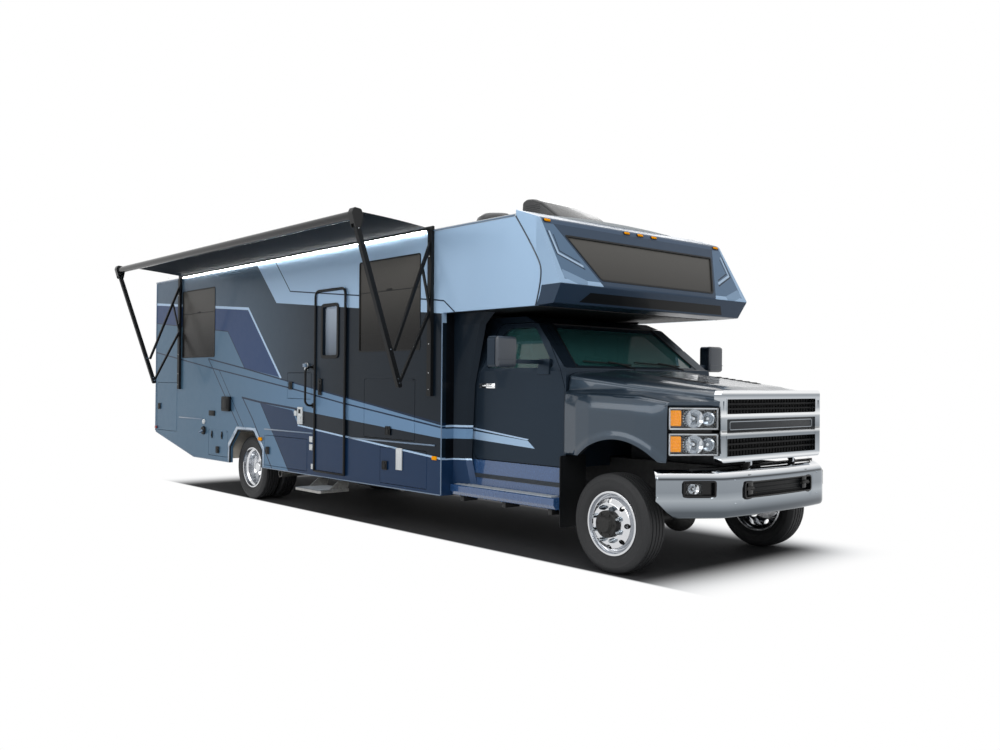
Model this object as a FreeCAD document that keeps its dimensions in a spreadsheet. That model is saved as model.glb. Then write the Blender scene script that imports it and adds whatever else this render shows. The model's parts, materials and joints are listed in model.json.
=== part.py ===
import FreeCAD, Part
import math
import os
from types import SimpleNamespace

# A class C motorhome: a van-type coach body on a medium truck with a tilting hood.
# Own frame of the drawing: x to the vehicle's left, y to its rear, z up, zero on the
# ground under the middle of the front axle. Every piece is then moved by frame_x and
# frame_y, so that the finished part stands with its box centred on the origin.

sizes = {
    # ladder frame and the heights that hang from it
    "rail_outer_half": 433,
    "rail_flange": 80,
    "rail_plate": 9,
    "rail_bottom": 640,
    "rail_depth": 230,
    "crossmember_half": 35,
    "crossmember_inset": 45,
    "floor_thickness": 90,
    "skirt_drop": 195,
    "tail_lift": 292,
    # coach shell
    "coach_half_width": 1283,
    "wall_thickness": 45,
    "coach_front": 2013,
    "roof_edge_thickness": 24,
    "roof_crown_rise": 85,
    "roof_lip": 36,
    # lengths of the right side, front to rear, each from the one before it
    "front_window_margin": 365,
    "front_window_length": 1095,
    "front_locker_margin": 243,
    "front_locker_length": 796,
    "tall_locker_margin": 445,
    "tall_locker_length": 904,
    "entry_margin": 390,
    "entry_length": 593,
    "power_hatch_margin": 135,
    "power_hatch_length": 557,
    "middle_locker_margin": 217,
    "middle_locker_length": 1038,
    "arch_margin": 72,
    "arch_half_bottom": 450,
    "arch_half_top": 215,
    "axle_behind_arch": 50,
    "service_hatch_margin": 68,
    "service_hatch_length": 589,
    "rear_window_margin": 948,
    "rear_window_length": 1080,
    "tail_rise_margin": 500,
    "rear_locker_margin": 605,
    "rear_locker_length": 726,
    "tail_margin": 72,
    # heights of windows, doors and lids
    "window_above_floor": 891,
    "window_height": 949,
    "pane_thickness": 8,
    "pane_inset": 6,
    "entry_above_skirt": 75,
    "entry_height": 2015,
    "entry_corner": 60,
    "entry_frame_width": 32,
    "entry_frame_proud": 16,
    "entry_leaf_proud": 12,
    "entry_pane_side": 145,
    "entry_pane_head": 167,
    "entry_pane_height": 548,
    "lid_gap": 6,
    "seat_gap": 0.3,
    "hinge_leaf": 26,
    "hinge_leaf_plate": 2.5,
    "lid_corner": 12,
    "locker_above_skirt": 43,
    "hatch_above_skirt": 67,
    "tall_locker_below_floor": 12,
    "tall_locker_height": 608,
    "power_hatch_above_floor": 364,
    "power_hatch_height": 299,
    "rear_locker_height": 705,
    "locker_depth": 560,
    "step_well_depth": 338,
    "step_tread": 170,
    "locker_sheet": 18,
    # engine, shaft and exhaust
    "engine_half": 290,
    "engine_front": -470,
    "engine_rear": 500,
    "engine_low": 590,
    "engine_high": 1270,
    "gearbox_half": 150,
    "gearbox_end": 1560,
    "gearbox_low": 500,
    "gearbox_high": 850,
    "crossmember_clearance": 190,
    "crossmember_end": 90,
    "crossmember_gaps": 6,
    "shaft_radius": 45,
    "shaft_front_height": 600,
    "shaft_rear_height": 430,
    "exhaust_side": 560,
    "exhaust_height": 392,
    "exhaust_radius": 42,
    "exhaust_wall": 4,
    "exhaust_front": 700,
    "exhaust_bend": 160,
    # wheels and axles
    "tyre_radius": 405.5,
    "tyre_half_width": 113,
    "rim_radius": 260.5,
    "rim_half_width": 95,
    "bead_radius": 248,
    "rim_wall": 10,
    "wheel_offset": 126,
    "dual_outer_half": 1065,
    "hub_radius": 105,
    "hand_hole_radius": 21,
    "hand_hole_circle": 186,
    "hand_holes": 8,
    "front_gears_radius": 145,
    "front_gears_side": 240,
    "rear_gears_radius": 175,
    "kingpin_inset": 160,
    "kingpin_radius": 20,
    "axle_tube_radius": 50,
    "spindle_radius": 38,
    "running_gap": 0.5,
    "arch_above_tyre": 74,
    "arch_shoulder_drop": 230,
    # truck cab
    "cab_half_width": 1020,
    "cab_lean": 160,
    "cab_front": 614,
    "cab_sill_drop": 70,
    "cab_floor_rise": 80,
    "cab_wall": 90,
    "cowl_rise": 868,
    "belt_drop": 28,
    "cab_roof_rise": 482,
    "windshield_head_drop": 75,
    "windshield_slope": 460,
    "windshield_foot_gap": 36,
    "windshield_low_half": 850,
    "windshield_high_half": 700,
    "door_front_gap": 18,
    "door_rear_gap": 208,
    "door_gap": 6,
    "door_foot_back": 40,
    "door_waist_drop": 140,
    "door_head_drop": 65,
    "door_head_forward": 180,
    "door_pillar": 40,
    "door_front_lean": 55,
    "door_corner_drop": 20,
    "door_sweep_gap": 16,
    "fairing_foot_forward": 25,
    "fairing_head_forward": 265,
    "fairing_step": 13,
    "fairing_nose": 60,
    "fairing_bevel": 40,
    "fairing_outreach": 122,
    "cab_window_sill": 28,
    "cab_window_head": 110,
    "cab_window_front_frame": 138,
    "cab_window_rear_frame": 115,
    "mirror_outreach": 580,
    "mirror_width": 235,
    "mirror_height": 268,
    # over-cab room and the joint line between side wall and cap
    "overcab_gap": 45,
    "overcab_height": 795,
    "seam_top": 985,
    "seam_shoulder_forward": 289,
    "seam_shoulder_rise": 425,
    "seam_nose_forward": 345,
    "seam_nose_rise": 245,
    "seam_foot_forward": 260,
    "cap_nose_forward": 259,
    "cap_nose_rise": 170,
    "cap_flare": 40,
    "cap_foot_back": 99,
    "cap_face_slope": 319,
    "cap_face_head": 38,
    "cap_thickness": 40,
    "bunk_floor_thickness": 40,
    "cap_window_sill": 57,
    "cap_window_head": 185,
    "cap_window_low_half": 788,
    "cap_window_high_half": 1040,
    # hood with fenders, grille and headlamps
    "hood_gap": 10,
    "hood_rear_drop": 13,
    "hood_fall": 163,
    "hood_front_half": 705,
    "hood_inset": 35,
    "hood_skin": 40,
    "fender_outreach": 100,
    "fender_drop": 92,
    "fender_arch_radius": 650,
    "fender_arch_centre": -40,
    "fender_arch_rise": 34.5,
    "grille_face": -775,
    "grille_half": 722,
    "grille_height": 563,
    "grille_depth": 70,
    "lamp_wrap": 255,
    "lamp_inset": 58,
    "lamp_drop": 38,
    "lamp_height": 390,
    "tilt_axis_back": 20,
    "tilt_axis_drop": 27,
    "tilt_pin_radius": 12,
    "tilt_ear_half": 320,
    "tilt_ear_thickness": 22,
    # front bumper
    "bumper_forward": 75,
    "bumper_bend_half": 720,
    "bumper_outreach": 45,
    "bumper_wrap": 350,
    "bumper_drop": 53,
    "bumper_height": 372,
    "bumper_plate": 14,
    "bumper_slot_half": 485,
    "bumper_slot_head": 100,
    "bumper_slot_height": 132,
    # running boards, fairings, flaps
    "board_outreach": 160,
    "board_front_gap": 19,
    "board_rear_gap": 5,
    "board_low": 450,
    "board_high": 555,
    "flap_gap": 13,
    "flap_low": 300,
    "flap_head_gap": 12,
    # awning
    "awning_front_margin": 177,
    "awning_rear_margin": 72,
    "awning_outreach": 877,
    "awning_rail_rise": 32,
    "awning_head_rise": 28,
    "awning_foot_outreach": 383,
    "awning_foot_rise": 540,
    "awning_bracket_reach": 63,
    "roller_radius": 42,
    "channel_tail": 104,
    "channel_depth": 34,
    "channel_half": 32,
    # roof equipment
    "air_unit_back": 365,
    "air_unit_length": 1000,
    "air_unit_half": 360,
    "air_unit_height": 320,
    "dome_back": 370,
    "dome_radius": 250,
    "dome_height": 320,
    # hitch
    "frame_rear_gap": 142,
    "receiver_outer_half": 32,
    "receiver_inner_half": 25.7,
    "receiver_drop": 40,
    "receiver_outreach": 48,
    "pin_hole_radius": 8.2,
    "pin_hole_back": 62,
}


def follow(**values):
    # adds sizes that follow from the ones above, and returns them all by name
    sizes.update(values)
    return SimpleNamespace(**sizes)


# heights, from the frame up
s = follow(rail_top=sizes["rail_bottom"] + sizes["rail_depth"], skirt_bottom=sizes["rail_bottom"] - sizes["skirt_drop"])
s = follow(floor_top=s.rail_top + s.floor_thickness, tail_bottom=s.skirt_bottom + s.tail_lift,
           cab_sill=s.rail_top - s.cab_sill_drop, receiver_height=s.rail_bottom - s.receiver_drop,
           arch_top=2 * s.tyre_radius + s.arch_above_tyre)
s = follow(arch_shoulder=s.arch_top - s.arch_shoulder_drop, cab_floor=s.cab_sill + s.cab_floor_rise,
           cowl_height=s.cab_sill + s.cowl_rise)
s = follow(cab_belt=s.cowl_height - s.belt_drop, cab_roof=s.cowl_height + s.cab_roof_rise,
           hood_rear_height=s.cowl_height - s.hood_rear_drop)
s = follow(door_waist=s.cab_belt - s.door_waist_drop, door_head=s.cab_roof - s.door_head_drop)
s = follow(windshield_head_height=s.cab_roof - s.windshield_head_drop, door_low=s.cab_sill + s.door_gap,
           cab_window_low=s.cab_belt + s.cab_window_sill, cab_window_high=s.cab_roof - s.cab_window_head,
           hood_front_height=s.hood_rear_height - s.hood_fall, overhang_bottom=s.cab_roof + s.overcab_gap)
s = follow(cap_nose_height=s.overhang_bottom + s.cap_nose_rise, seam_nose_height=s.overhang_bottom + s.seam_nose_rise,
           seam_shoulder_height=s.overhang_bottom + s.seam_shoulder_rise, roof_edge=s.overhang_bottom + s.overcab_height,
           fender_top=s.hood_front_height - s.fender_drop)
s = follow(roof_crown=s.roof_edge + s.roof_crown_rise, cap_window_low=s.cap_nose_height + s.cap_window_sill,
           cap_window_high=s.roof_edge - s.cap_window_head, awning_rail_height=s.roof_edge + s.awning_rail_rise,
           awning_foot_height=s.floor_top + s.awning_foot_rise, lamp_high=s.fender_top - s.lamp_drop,
           grille_high=s.hood_front_height - 4)
s = follow(awning_head_height=s.awning_rail_height + s.awning_head_rise, channel_low=s.awning_foot_height - s.channel_tail,
           lamp_low=s.lamp_high - s.lamp_height, grille_low=s.grille_high - s.grille_height)
s = follow(fender_bottom=s.grille_low, tilt_axis_z=s.grille_low - s.tilt_axis_drop, bumper_high=s.grille_low - s.bumper_drop,
           fender_arch_height=s.tyre_radius + s.fender_arch_rise)
s = follow(bumper_low=s.bumper_high - s.bumper_height, bumper_slot_high=s.bumper_high - s.bumper_slot_head,
           flap_high=s.fender_bottom - s.flap_head_gap)
s = follow(bumper_slot_low=s.bumper_slot_high - s.bumper_slot_height)
s = follow(window_low=s.floor_top + s.window_above_floor, entry_low=s.skirt_bottom + s.entry_above_skirt,
           front_locker_low=s.skirt_bottom + s.locker_above_skirt, middle_locker_low=s.skirt_bottom + s.locker_above_skirt,
           service_hatch_low=s.skirt_bottom + s.hatch_above_skirt, rear_locker_low=s.tail_bottom + s.locker_above_skirt,
           front_locker_high=s.rail_top - s.locker_sheet, middle_locker_high=s.rail_top - s.locker_sheet,
           service_hatch_high=s.rail_top - s.locker_sheet, tall_locker_low=s.floor_top - s.tall_locker_below_floor,
           power_hatch_low=s.floor_top + s.power_hatch_above_floor)
s = follow(window_high=s.window_low + s.window_height, entry_high=s.entry_low + s.entry_height,
           rear_locker_high=s.rear_locker_low + s.rear_locker_height, tall_locker_high=s.tall_locker_low + s.tall_locker_height,
           power_hatch_high=s.power_hatch_low + s.power_hatch_height)
s = follow(entry_pane_high=s.entry_high - s.entry_pane_head)
s = follow(entry_pane_low=s.entry_pane_high - s.entry_pane_height)

# lengths, from the front axle to the tail and to the nose
s = follow(front_window_start=s.coach_front + s.front_window_margin, front_locker_start=s.coach_front + s.front_locker_margin,
           tall_locker_start=s.coach_front + s.tall_locker_margin)
s = follow(front_window_end=s.front_window_start + s.front_window_length,
           front_locker_end=s.front_locker_start + s.front_locker_length,
           tall_locker_end=s.tall_locker_start + s.tall_locker_length)
s = follow(entry_start=s.tall_locker_end + s.entry_margin)
s = follow(entry_end=s.entry_start + s.entry_length, entry_pane_start=s.entry_start + s.entry_pane_side)
s = follow(entry_pane_end=s.entry_end - s.entry_pane_side, power_hatch_start=s.entry_end + s.power_hatch_margin,
           middle_locker_start=s.entry_end + s.middle_locker_margin)
s = follow(power_hatch_end=s.power_hatch_start + s.power_hatch_length,
           middle_locker_end=s.middle_locker_start + s.middle_locker_length)
s = follow(arch_centre=s.middle_locker_end + s.arch_margin + s.arch_half_bottom)
s = follow(wheelbase=s.arch_centre + s.axle_behind_arch, rear_window_start=s.arch_centre + s.rear_window_margin,
           service_hatch_start=s.arch_centre + s.arch_half_bottom + s.service_hatch_margin)
s = follow(service_hatch_end=s.service_hatch_start + s.service_hatch_length,
           rear_window_end=s.rear_window_start + s.rear_window_length)
s = follow(tail_rise_start=s.service_hatch_end + s.tail_rise_margin)
s = follow(rear_locker_start=s.tail_rise_start + s.rear_locker_margin)
s = follow(rear_locker_end=s.rear_locker_start + s.rear_locker_length)
s = follow(coach_rear=s.rear_locker_end + s.tail_margin)
s = follow(frame_rear=s.coach_rear - s.frame_rear_gap, receiver_end=s.coach_rear + s.receiver_outreach,
           awning_front_arm=s.coach_front + s.awning_front_margin, awning_rear_arm=s.rear_window_end + s.awning_rear_margin)
s = follow(hood_rear=s.cab_front - s.hood_gap, windshield_foot=s.cab_front + s.windshield_foot_gap,
           door_front=s.cab_front + s.door_front_gap, door_rear=s.coach_front - s.door_rear_gap,
           board_front=s.cab_front - s.board_front_gap, board_rear=s.coach_front - s.board_rear_gap)
s = follow(windshield_head=s.windshield_foot + s.windshield_slope, flap_y=s.board_front - s.flap_gap,
           cab_window_front=s.door_front + s.cab_window_front_frame, cab_window_rear=s.door_rear - s.cab_window_rear_frame)
s = follow(seam_shoulder=s.seam_top - s.seam_shoulder_forward, seam_nose=s.seam_top - s.seam_nose_forward,
           seam_foot=s.seam_top - s.seam_foot_forward, air_unit_front=s.seam_top + s.air_unit_back)
s = follow(cap_nose=s.seam_nose - s.cap_nose_forward, air_unit_rear=s.air_unit_front + s.air_unit_length)
s = follow(cap_foot=s.cap_nose + s.cap_foot_back, cap_crown=s.cap_nose + s.cap_face_slope,
           dome_centre=s.air_unit_rear + s.dome_back)
s = follow(lamp_rear=s.grille_face + s.lamp_wrap, tilt_axis_y=s.grille_face + s.tilt_axis_back,
           bumper_face=s.grille_face - s.bumper_forward, frame_front=s.grille_face + s.bumper_forward)
s = follow(bumper_tip=s.bumper_face + s.bumper_wrap)

# widths, from the middle out
s = follow(cap_nose_half_width=s.coach_half_width + s.cap_flare, cab_roof_half=s.cab_half_width - s.cab_lean,
           fender_half=s.cab_half_width + s.fender_outreach, board_half=s.cab_half_width + s.board_outreach,
           hood_rear_half=s.cab_half_width - s.hood_inset, mirror_reach=s.cab_half_width + s.mirror_outreach,
           awning_head_out=s.coach_half_width + s.awning_outreach,
           awning_foot_out=s.coach_half_width + s.awning_foot_outreach)
s = follow(front_track_half=s.fender_half - s.fender_outreach, lamp_half=s.fender_half - s.lamp_inset,
           bumper_tip_half=s.fender_half + s.bumper_outreach, awning_reach=s.awning_head_out + s.awning_bracket_reach)
s = follow(kingpin_half=s.front_track_half - s.kingpin_inset)

# where the drawing's own zero comes to lie in the finished part
s = follow(frame_x=(s.awning_reach - s.mirror_reach) / 2, frame_y=-(s.receiver_end + s.bumper_face) / 2)

doc = FreeCAD.newDocument("Motorhome")
sheet = doc.addObject("Spreadsheet::Sheet", "size")
for row, (name, value) in enumerate(sizes.items(), start=1):
    sheet.set(f"A{row}", name)
    sheet.set(f"B{row}", str(value))
    sheet.setAlias(f"B{row}", name)
doc.recompute()
size = SimpleNamespace(**{name: float(sheet.get(name)) for name in sizes})

nodes = []


def keep(piece, label):
    # marks a finished sub-part and gives it its file name
    piece.Label = label
    nodes.append(piece)
    return piece


def box(name, x, y, z):
    # a block between pairs of expressions, low and high, on each axis
    block = doc.addObject("Part::Box", name)
    for side, (low, high) in zip(("Length", "Width", "Height"), (x, y, z)):
        block.setExpression(side, f"({high}) - ({low})")
    block.setExpression("Placement.Base.x", f"({x[0]}) + size.frame_x")
    block.setExpression("Placement.Base.y", f"({y[0]}) + size.frame_y")
    block.setExpression("Placement.Base.z", z[0])
    return block


turns = {
    "x": FreeCAD.Rotation(FreeCAD.Vector(0, 1, 0), 90),
    "y": FreeCAD.Rotation(FreeCAD.Vector(1, 0, 0), -90),
    "z": FreeCAD.Rotation(),
}


def rod(name, axis, radius, start, length):
    # a round bar from a start point along an axis; all arguments are expressions
    bar = doc.addObject("Part::Cylinder", name)
    bar.Placement = FreeCAD.Placement(FreeCAD.Vector(), turns[axis])
    bar.setExpression("Radius", radius)
    bar.setExpression("Height", length)
    bar.setExpression("Placement.Base.x", f"({start[0]}) + size.frame_x")
    bar.setExpression("Placement.Base.y", f"({start[1]}) + size.frame_y")
    bar.setExpression("Placement.Base.z", start[2])
    return bar


def fuse(name, *pieces):
    joined = doc.addObject("Part::MultiFuse", name)
    joined.Shapes = list(pieces)
    joined.Refine = True
    return joined


def cut(name, base, *tools):
    tool = tools[0] if len(tools) == 1 else fuse(f"{name}Tools", *tools)
    rest = doc.addObject("Part::Cut", name)
    rest.Base = base
    rest.Tool = tool
    rest.Refine = True
    return rest


def common(name, first, second):
    shared = doc.addObject("Part::Common", name)
    shared.Base = first
    shared.Tool = second
    shared.Refine = True
    return shared


def mirror(name, source):
    # the same piece on the other side of the vehicle
    twin = doc.addObject("Part::Mirroring", name)
    twin.Source = source
    twin.Normal = FreeCAD.Vector(1, 0, 0)
    twin.setExpression("Base.x", "size.frame_x")
    return twin


def body(name, x="0", y="0", z="0"):
    # an empty body whose own origin lies at a point of the vehicle
    part = doc.addObject("PartDesign::Body", name)
    part.AllowCompound = True
    part.setExpression("Placement.Base.x", f"({x}) + size.frame_x")
    part.setExpression("Placement.Base.y", f"({y}) + size.frame_y")
    part.setExpression("Placement.Base.z", z)
    return part


def datum(part, role):
    return next(item for item in part.Origin.OriginFeatures if item.Role == role)


def sketch(part, plane, offset, edges):
    drawing = part.newObject("Sketcher::SketchObject", f"{part.Name}Sketch")
    drawing.AttachmentSupport = [(datum(part, plane), "")]
    drawing.MapMode = "FlatFace"
    drawing.setExpression("AttachmentOffset.Base.z", offset)
    drawing.addGeometry(edges, False)
    return drawing


def swept(part, kind, plane, span, edges):
    # a pad or pocket between two heights over a plane, low and high as expressions
    low, high = span
    offset = f"-({high})" if plane == "XZ_Plane" else low
    drawing = sketch(part, plane, offset, edges)
    feature = part.newObject(f"PartDesign::{kind}", f"{part.Name}{kind}")
    feature.Profile = drawing
    feature.setExpression("Length", f"({high}) - ({low})")
    feature.Reversed = kind == "Pocket"
    return feature


def pad(part, plane, span, edges):
    return swept(part, "Pad", plane, span, edges)


def pocket(part, plane, span, edges):
    return swept(part, "Pocket", plane, span, edges)


def revolve(part, edges, kind="Revolution"):
    # a full turn of an outline in the xz plane about the body's own x axis
    drawing = sketch(part, "XZ_Plane", "0", edges)
    feature = part.newObject(f"PartDesign::{kind}", f"{part.Name}{kind}")
    feature.Profile = drawing
    feature.ReferenceAxis = (datum(part, "X_Axis"), [""])
    feature.Angle = 360
    return feature


def ring_pattern(part, feature, count):
    pattern = part.newObject("PartDesign::PolarPattern", f"{part.Name}Pattern")
    pattern.Originals = [feature]
    pattern.Axis = (datum(part, "X_Axis"), [""])
    pattern.Angle = 360
    pattern.Occurrences = count
    part.Tip = pattern
    return pattern


def outline(points):
    # a closed outline: a third number rounds that corner, and ("via", a, b) bends
    # the side that follows the corner before it into an arc through that point
    corners = []
    bends = {}
    for point in points:
        if point[0] == "via":
            bends[len(corners) - 1] = FreeCAD.Vector(point[1], point[2], 0)
        else:
            corners.append(point)
    count = len(corners)
    places = [FreeCAD.Vector(corner[0], corner[1], 0) for corner in corners]
    arrive = []
    leave = []
    edges = []
    for index, corner in enumerate(corners):
        here = places[index]
        if len(corner) < 3 or corner[2] <= 0:
            arrive.append(here)
            leave.append(here)
            continue
        back = (places[index - 1] - here).normalize()
        ahead = (places[(index + 1) % count] - here).normalize()
        half = back.getAngle(ahead) / 2
        first = here + back * (corner[2] / math.tan(half))
        last = here + ahead * (corner[2] / math.tan(half))
        centre = here + (back + ahead).normalize() * (corner[2] / math.sin(half))
        middle = centre + (here - centre).normalize() * corner[2]
        edges.append(Part.Arc(first, middle, last))
        arrive.append(first)
        leave.append(last)
    for index in range(count):
        start = leave[index]
        end = arrive[(index + 1) % count]
        if index in bends:
            edges.append(Part.Arc(start, bends[index], end))
        elif start.distanceToPoint(end) > 1e-6:
            edges.append(Part.LineSegment(start, end))
    return edges


def rectangle(a0, a1, b0, b1, radius=0):
    return outline([(a0, b0, radius), (a1, b0, radius), (a1, b1, radius), (a0, b1, radius)])


def circle(a, b, radius):
    return [Part.Circle(FreeCAD.Vector(a, b, 0), FreeCAD.Vector(0, 0, 1), radius)]


# Ladder frame: two channels open inwards, joined by crossmembers

def crossmember_places():
    # one ahead of the engine, the others evenly from behind the gearbox to the tail
    first = size.gearbox_end + size.crossmember_clearance
    last = size.frame_rear - size.crossmember_end
    gaps = int(size.crossmember_gaps)
    return [size.frame_front + 40] + [first + (last - first) * step / gaps for step in range(gaps + 1)]


def frame_rails():
    part = body("Rails")
    outer = size.rail_outer_half
    inner = outer - size.rail_flange
    web = outer - size.rail_plate
    low = size.rail_bottom
    high = size.rail_top
    for side in (1, -1):
        channel = [
            (side * outer, low), (side * inner, low), (side * inner, low + size.rail_plate),
            (side * web, low + size.rail_plate), (side * web, high - size.rail_plate),
            (side * inner, high - size.rail_plate), (side * inner, high), (side * outer, high),
        ]
        pad(part, "XZ_Plane", ("size.frame_front", "size.frame_rear"), outline(channel))
    for place in crossmember_places():
        tube = rectangle(-web, web, low + size.crossmember_inset, high - size.crossmember_inset, 12)
        pad(part, "XZ_Plane", (str(place - size.crossmember_half), str(place + size.crossmember_half)), tube)
    for side in (1, -1):
        near = side * (size.tilt_ear_half + 4)
        far = side * (size.tilt_ear_half + 20)
        pad(part, "YZ_Plane", sorted_span(near, far), outline([
            (size.tilt_axis_y - 16, size.tilt_axis_z - 10, 12), (size.tilt_axis_y - 16, size.tilt_axis_z + 16, 14),
            (size.tilt_axis_y + 16, size.tilt_axis_z + 16, 14), (-630, high - 60), (-630, low + 60),
            (-690, low + 60)]))
        pin = side * (size.tilt_ear_half - size.tilt_ear_thickness - 3)
        pad(part, "YZ_Plane", sorted_span(pin, near), circle(size.tilt_axis_y, size.tilt_axis_z, size.tilt_pin_radius))
    keep(part, "frame_rails")


# Axles: tube, gear housing, leaf springs and their hangers in one piece each

def leaf_springs(part, y, reach, seat):
    # a curved pack under each rail, with hangers up to the rail's lower flange
    inner = size.rail_outer_half - size.rail_flange
    low = size.rail_bottom - 52
    for side in (1, -1):
        span = sorted((side * inner, side * size.rail_outer_half))
        span = (str(span[0] + 4), str(span[1] - 4))
        pack = [(y - reach, low), ("via", y, seat), (y + reach, low), (y + reach, low + 26),
                ("via", y, seat + 48), (y - reach, low + 26)]
        pad(part, "YZ_Plane", span, outline(pack))
        for end in (y - reach, y + reach):
            hanger = rectangle(end - 26, end + 26, low - 12, size.rail_bottom)
            pad(part, "YZ_Plane", span, hanger)
        pad(part, "YZ_Plane", span, rectangle(y - 60, y + 60, size.tyre_radius, seat + 8))


def front_axle():
    part = body("FrontAxle")
    half = size.kingpin_half
    centre = size.tyre_radius
    pad(part, "YZ_Plane", (f"-{half}", f"{half}"), circle(0, centre, size.axle_tube_radius))
    for side in (1, -1):
        pad(part, "XY_Plane", (str(centre - 60), str(centre + 60)), circle(side * half, 0, 42))
        pocket(part, "XY_Plane", (str(centre - 61), str(centre + 61)),
               circle(side * half, 0, size.kingpin_radius + size.running_gap))
    leaf_springs(part, 0, 560, 470)
    gears = doc.addObject("Part::Sphere", "FrontGears")
    gears.setExpression("Radius", "size.front_gears_radius")
    gears.setExpression("Placement.Base.x", "size.frame_x - size.front_gears_side")
    gears.setExpression("Placement.Base.y", "size.frame_y")
    gears.setExpression("Placement.Base.z", "size.tyre_radius")
    keep(fuse("FrontAxleWhole", part, gears), "front_axle")


def rear_axle():
    part = body("RearAxle")
    tip = size.dual_outer_half - size.wheel_offset
    centre = size.tyre_radius
    base = size.wheelbase
    pad(part, "YZ_Plane", (str(-tip + 76), str(tip - 76)), circle(base, centre, 62))
    pad(part, "YZ_Plane", (str(-tip + 12), str(tip - 12)), circle(base, centre, size.spindle_radius))
    leaf_springs(part, base, 640, 480)
    gears = doc.addObject("Part::Sphere", "RearGears")
    gears.setExpression("Radius", "size.rear_gears_radius")
    gears.setExpression("Placement.Base.x", "size.frame_x")
    gears.setExpression("Placement.Base.y", "size.wheelbase + size.frame_y")
    gears.setExpression("Placement.Base.z", "size.tyre_radius")
    keep(fuse("RearAxleWhole", part, gears), "rear_axle")


def steering_knuckle():
    # turns on the kingpin at its own origin and carries the front hub's spindle
    part = body("Knuckle", "size.kingpin_half", "0", "size.tyre_radius")
    reach = size.front_track_half + size.wheel_offset - size.kingpin_half - 12
    pad(part, "XY_Plane", ("-96", "96"), circle(0, 0, size.kingpin_radius))
    for low in (-96, 66):
        plate = outline([(-36, -36, 30), (60, -36, 8), (60, 36, 8), (-36, 36, 30)])
        pad(part, "XY_Plane", (str(low), str(low + 30)), plate)
    pad(part, "YZ_Plane", ("46", "70"), rectangle(-70, 70, -96, 96, 24))
    pad(part, "YZ_Plane", ("60", str(reach)), circle(0, 0, size.spindle_radius))
    arm = outline([(50, 30), (66, 30), (66, 120), (30, 175, 14), (4, 175, 14), (4, 145, 6), (50, 100, 10)])
    pad(part, "XY_Plane", ("-92", "-70"), arm)
    keep(part, "knuckle_left")
    keep(mirror("KnuckleRight", part), "knuckle_right")


# Wheels: one-piece discs with hand holes; the rear pair is bolted back to back

def rim_section(centre, side):
    half = size.rim_half_width
    seat = size.bead_radius
    wall = size.rim_wall
    ring = [
        (half, size.rim_radius, 3), (half - 8, size.rim_radius), (half - 11, seat), (half - 42, seat),
        (half - 58, seat - 22), (58 - half, seat - 22), (42 - half, seat), (11 - half, seat),
        (8 - half, size.rim_radius), (-half, size.rim_radius, 3), (-half, seat - wall + 6),
        (38 - half, seat - wall), (54 - half, seat - 22 - wall), (half - 54, seat - 22 - wall),
        (half - 38, seat - wall), (half, seat - wall + 6),
    ]
    return [(centre + side * point[0],) + point[1:] for point in ring]


def disc_section(centre, side, thickness):
    # from the barrel in to the bolting ring, which lies on the mounting plane
    face = size.wheel_offset
    drop = size.bead_radius - 22 - size.rim_wall / 2
    inner = size.hub_radius + 1
    disc = [
        (58, drop), (28, drop), (face - thickness - 30, 196), (face - thickness, 160),
        (face - thickness, inner), (face, inner), (face, 165, 12), (face - 26, 204, 16),
    ]
    return [(centre + side * point[0],) + point[1:] for point in disc]


def wheel(part, centre, side):
    revolve(part, outline(rim_section(centre, side)))
    revolve(part, outline(disc_section(centre, side, 14)))
    hole = pocket(part, "YZ_Plane", sorted_span(centre, centre + side * 200),
                  circle(0, size.hand_hole_circle, size.hand_hole_radius))
    ring_pattern(part, hole, int(size.hand_holes))


def sorted_span(first, second):
    return (str(min(first, second)), str(max(first, second)))


def tyre(part, centre):
    half = size.tyre_half_width
    crown = size.tyre_radius
    foot = size.bead_radius + 0.4
    rim = size.rim_half_width - 12
    section = [
        (centre - rim, foot), (centre - rim - 4, size.rim_radius + 2), ("via", centre - half, 330),
        (centre - half + 12, crown - 22), (centre - half + 26, crown - 4), (centre - half + 70, crown),
        (centre + half - 70, crown), (centre + half - 26, crown - 4), (centre + half - 12, crown - 22),
        ("via", centre + half, 330), (centre + rim + 4, size.rim_radius + 2), (centre + rim, foot),
    ]
    revolve(part, outline(section))


def hub(part, mount, side, length):
    # the hub behind and before the mounting plane, bored for the spindle
    radius = size.hub_radius + 1
    back = mount - side * 66
    flange = mount - side * 14
    bore = size.spindle_radius + size.running_gap
    outer = [
        (back, bore), (back, radius + 44), (flange, radius + 44), (flange, radius),
        (mount + side * 34, radius, 8), (mount + side * 38, 66), (mount + side * length, 62, 12),
        (mount + side * length, 0), (mount - side * 8, 0), (mount - side * 8, bore),
    ]
    revolve(part, outline(outer))


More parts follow.
